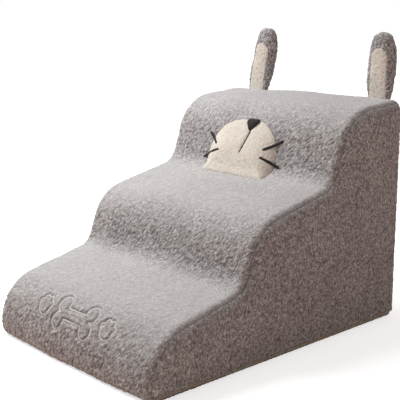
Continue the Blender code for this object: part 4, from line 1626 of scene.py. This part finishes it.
# %% Top stitching beside the zip
STITCH = 0.0026
STITCH_GAP = 0.0009
STITCH_RISE = 0.0006
STITCH_THREAD = 0.00028
seam_thread = thread_finish("seam_thread", (0.36, 0.335, 0.325), 0.55)


def arch(start, end, out):
    """Points of one stitch, whose ends go down into the cloth."""
    points = []
    for share in (0.0, 0.2, 0.5, 0.8, 1.0):
        lift = STITCH_RISE * (1.0 - (2 * share - 1.0) ** 4) - 2 * STITCH_THREAD * (share in (0.0, 1.0))
        points.append(start.lerp(end, share) + out * lift)
    return points


def zip_stitches(name, panel, height, node):
    """A row across the back, laid on the panel's own pile."""
    tree = cloth_tree(panel)
    low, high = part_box(node)
    arches = []
    for k in range(int((high.x - low.x) / (STITCH + STITCH_GAP))):
        ends = []
        for x in (0.0, STITCH):
            start = Vector((low.x + k * (STITCH + STITCH_GAP) + x, back + ABOVE, height))
            hit = tree.ray_cast(start, Vector((0.0, -1.0, 0.0)))[0]
            if hit is not None:
                ends.append(hit)
        if len(ends) == 2:
            arches.append(arch(*ends, Vector((0.0, 1.0, 0.0))))
    piece = drawn(name, arches, STITCH_THREAD, seam_thread)
    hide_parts(node)
    return len(arches)


rows = (
    zip_stitches("zip_stitches_upper", upper_back, slot_high + STITCH_LINE, "zip_tape_upper"),
    zip_stitches("zip_stitches_lower", lower_back, slot_low - STITCH_LINE, "zip_tape_lower"),
)
print("top stitching:", rows, "stitches")

# %% [markdown]
# ## Metal of the zip
# Slider, pull and stops are cast zinc with a thin bright plating, which fingers wear dull. They could be
# made again with finer shapes, but the joints are tested on the model's solids, so these are kept. A
# bevel rounds their edges, and one noise drives both the colour and the roughness, so that worn places
# are darker and duller.

# %% Metal of the slider, the pull and the stops
EDGE_ROUND = 0.0003


def plated_zinc(name):
    """Plated metal: bright, with fine scratches and duller patches where fingers rub."""
    material, tree, shader = new_finish(name, 0.3, metallic=1.0)
    wear = noise_node(tree, 160.0, 4.0).outputs["Fac"]
    coloured_by(tree, shader, wear, ((0.3, (0.40, 0.40, 0.41)), (0.7, (0.66, 0.66, 0.68))))
    coloured_by(tree, shader, wear, ((0.3, grey(0.48)), (0.7, grey(0.24))), "Roughness")
    add_bump(tree, shader, noise_node(tree, 2500.0, 2.0, (0.08, 1.0, 1.0)).outputs["Fac"], 0.12, 0.0001)
    return material


def give_finish(node, finish):
    """The finish goes on the object, so the model's own mesh stays as it is."""
    for place in node.material_slots:
        place.link = "OBJECT"
        place.material = finish


zinc = plated_zinc("plated_zinc")
for name in ("zip_slider", "zip_pull", "zip_stop_left", "zip_stop_right"):
    node = frame["nodes"][name]
    give_finish(node, zinc)
    rounded = node.modifiers.new("rounded", "BEVEL")
    rounded.width = EDGE_ROUND
    rounded.segments = 2
    rounded.limit_method = "ANGLE"
print("metal pieces keep the model's solids")

# %% [markdown]
# ## Foam
# The three slabs of foam are seen only when the cover is off, and they keep the model's solids.
# Open-cell foam is a mesh of tiny bubbles, cut through by a hot wire, so its finish is cell noise at the
# size of the bubbles, each bubble's hollow painted darker as shade, over a slow yellowing.

# %% Foam finish
def open_cell_foam(name):
    """Fine bubbles with painted shade in their hollows, over a slow yellowing."""
    material, tree, shader = new_finish(name, 0.9, 0.1)
    cells = tree.nodes.new("ShaderNodeTexVoronoi")
    cells.inputs["Scale"].default_value = 620.0
    where = tree.nodes.new("ShaderNodeTexCoord")
    tree.links.new(where.outputs["Object"], cells.inputs["Vector"])
    # The bubbles' hollows are painted darker: painted shade.
    bubbles = ((0.1, (0.62, 0.56, 0.40)), (0.5, (0.84, 0.79, 0.62)))
    pore_shade = ramp_node(tree, cells.outputs["Distance"], bubbles)
    yellowed = ((0.35, (0.93, 0.88, 0.74)), (0.65, grey(1.0)))
    age = ramp_node(tree, noise_node(tree, 9.0).outputs["Fac"], yellowed)
    tree.links.new(mix_node(tree, pore_shade, age, 1.0), shader.inputs["Base Color"])
    add_bump(tree, shader, cells.outputs["Distance"], 0.6, 0.0008)
    return material


foam = open_cell_foam("open_cell_foam")
for name in FOAM_BLOCKS:
    give_finish(frame["nodes"][name], foam)
print("foam slabs:", FOAM_BLOCKS)

# %% [markdown]
# ## Floor and light
# A floor that is nearly white takes the faint shadow. A lit white floor would turn grey far away, so to
# the camera it also glows a little, and to all other light it is a warm wooden floor, which tints the
# side panel. The room is lit from a wide window, high on the left and in front of the steps, so that the
# treads are bright, the risers are half as bright and the pile shows its grain. A lamp near the top step
# makes its light fade down the steps. A weak warm light on the right keeps the side panel readable, and
# the room gives the rest.

# %% Window and lamps


def area_light(name, place, target, size, power, colour):
    """A lamp close enough for its light to fade across the steps."""
    data = bpy.data.lights.new(name, "AREA")
    data.shape = "DISK"
    data.size = size
    data.energy = power
    data.color = colour
    light = bpy.data.objects.new(name, data)
    light.location = place
    light.rotation_euler = (Vector(target) - Vector(place)).to_track_quat("-Z", "Y").to_euler()
    bpy.context.scene.collection.objects.link(light)


def sky_light(name, towards, angle, strength, colour):
    """Even light from far away, as from a window or a soft box, out of a wide angle."""
    data = bpy.data.lights.new(name, "SUN")
    data.energy = strength
    data.angle = math.radians(angle)
    data.color = colour
    light = bpy.data.objects.new(name, data)
    light.rotation_euler = (-Vector(towards)).to_track_quat("-Z", "Y").to_euler()
    bpy.context.scene.collection.objects.link(light)


sky_light("window", (-0.52, -0.22, 0.81), 32.0, 1.6, (0.98, 0.985, 1.0))
area_light("key", (-0.78, -0.26, 1.02), (-0.08, 0.0, 0.25), 0.45, 9.8, (0.98, 0.985, 1.0))
sky_light("warm_side", (0.86, -0.30, 0.40), 40.0, 0.42, (1.0, 0.76, 0.67))
print("lights:", [light.name for light in bpy.data.lights])

# %% Floor
FLOOR_SIZE = 60.0
TINY = 0.0005  # the floor lies this far under the steps


def pale_floor(glow, warm):
    """Pale to the camera, with a faint shadow. The steps are lit by it as by a warm wooden floor."""
    material, tree, shader = new_finish("pale_floor", 0.8)
    pale = ((0.3, grey(0.90)), (0.7, grey(0.93)))
    colour = ramp_node(tree, noise_node(tree, 3.0).outputs["Fac"], pale)
    path = tree.nodes.new("ShaderNodeLightPath")
    tint = tree.nodes.new("ShaderNodeRGB")
    tint.outputs["Color"].default_value = (*warm, 1.0)
    seen = mix_node(tree, tint.outputs["Color"], colour, path.outputs["Is Camera Ray"], "MIX")
    tree.links.new(seen, shader.inputs["Base Color"])
    shader.inputs["Emission Color"].default_value = (1.0, 1.0, 1.0, 1.0)
    strength = tree.nodes.new("ShaderNodeMath")
    strength.operation = "MULTIPLY"
    strength.inputs[1].default_value = glow
    tree.links.new(path.outputs["Is Camera Ray"], strength.inputs[0])
    tree.links.new(strength.outputs["Value"], shader.inputs["Emission Strength"])
    half = FLOOR_SIZE / 2
    mesh = bpy.data.meshes.new("floor")
    corners = [(x * half, y * half, -TINY) for x, y in ((-1, -1), (1, -1), (1, 1), (-1, 1))]
    mesh.from_pydata(corners, [], [(0, 1, 2, 3)])
    mesh.materials.append(material)
    floor = bpy.data.objects.new("floor", mesh)
    bpy.context.scene.collection.objects.link(floor)


pale_floor(0.66, (0.80, 0.60, 0.53))
print("floor:", FLOOR_SIZE, "m wide")


# %% Light of the room
def room_light(seen, given):
    """A world that looks white to the camera and lights the steps softly."""
    world = bpy.data.worlds.new("room")
    bpy.context.scene.world = world
    world.use_nodes = True
    tree = world.node_tree
    shade = tree.nodes["Background"]
    shade.inputs["Color"].default_value = (*given, 1.0)
    white = tree.nodes.new("ShaderNodeBackground")
    white.inputs["Color"].default_value = (*seen, 1.0)
    path = tree.nodes.new("ShaderNodeLightPath")
    mix = tree.nodes.new("ShaderNodeMixShader")
    tree.links.new(path.outputs["Is Camera Ray"], mix.inputs["Fac"])
    tree.links.new(shade.outputs["Background"], mix.inputs[1])
    tree.links.new(white.outputs["Background"], mix.inputs[2])
    tree.links.new(mix.outputs["Shader"], tree.nodes["World Output"].inputs["Surface"])


room_light((1.0, 1.0, 1.0), (0.21, 0.20, 0.198))
bpy.context.scene.view_settings.view_transform = "Standard"
print("room:", bpy.context.scene.world.name)

# %% [markdown]
# ## Sizes
# The pile may stand a few millimetres proud of the box that was kept at the start, and no more.

# %% Boxes and finish
import json
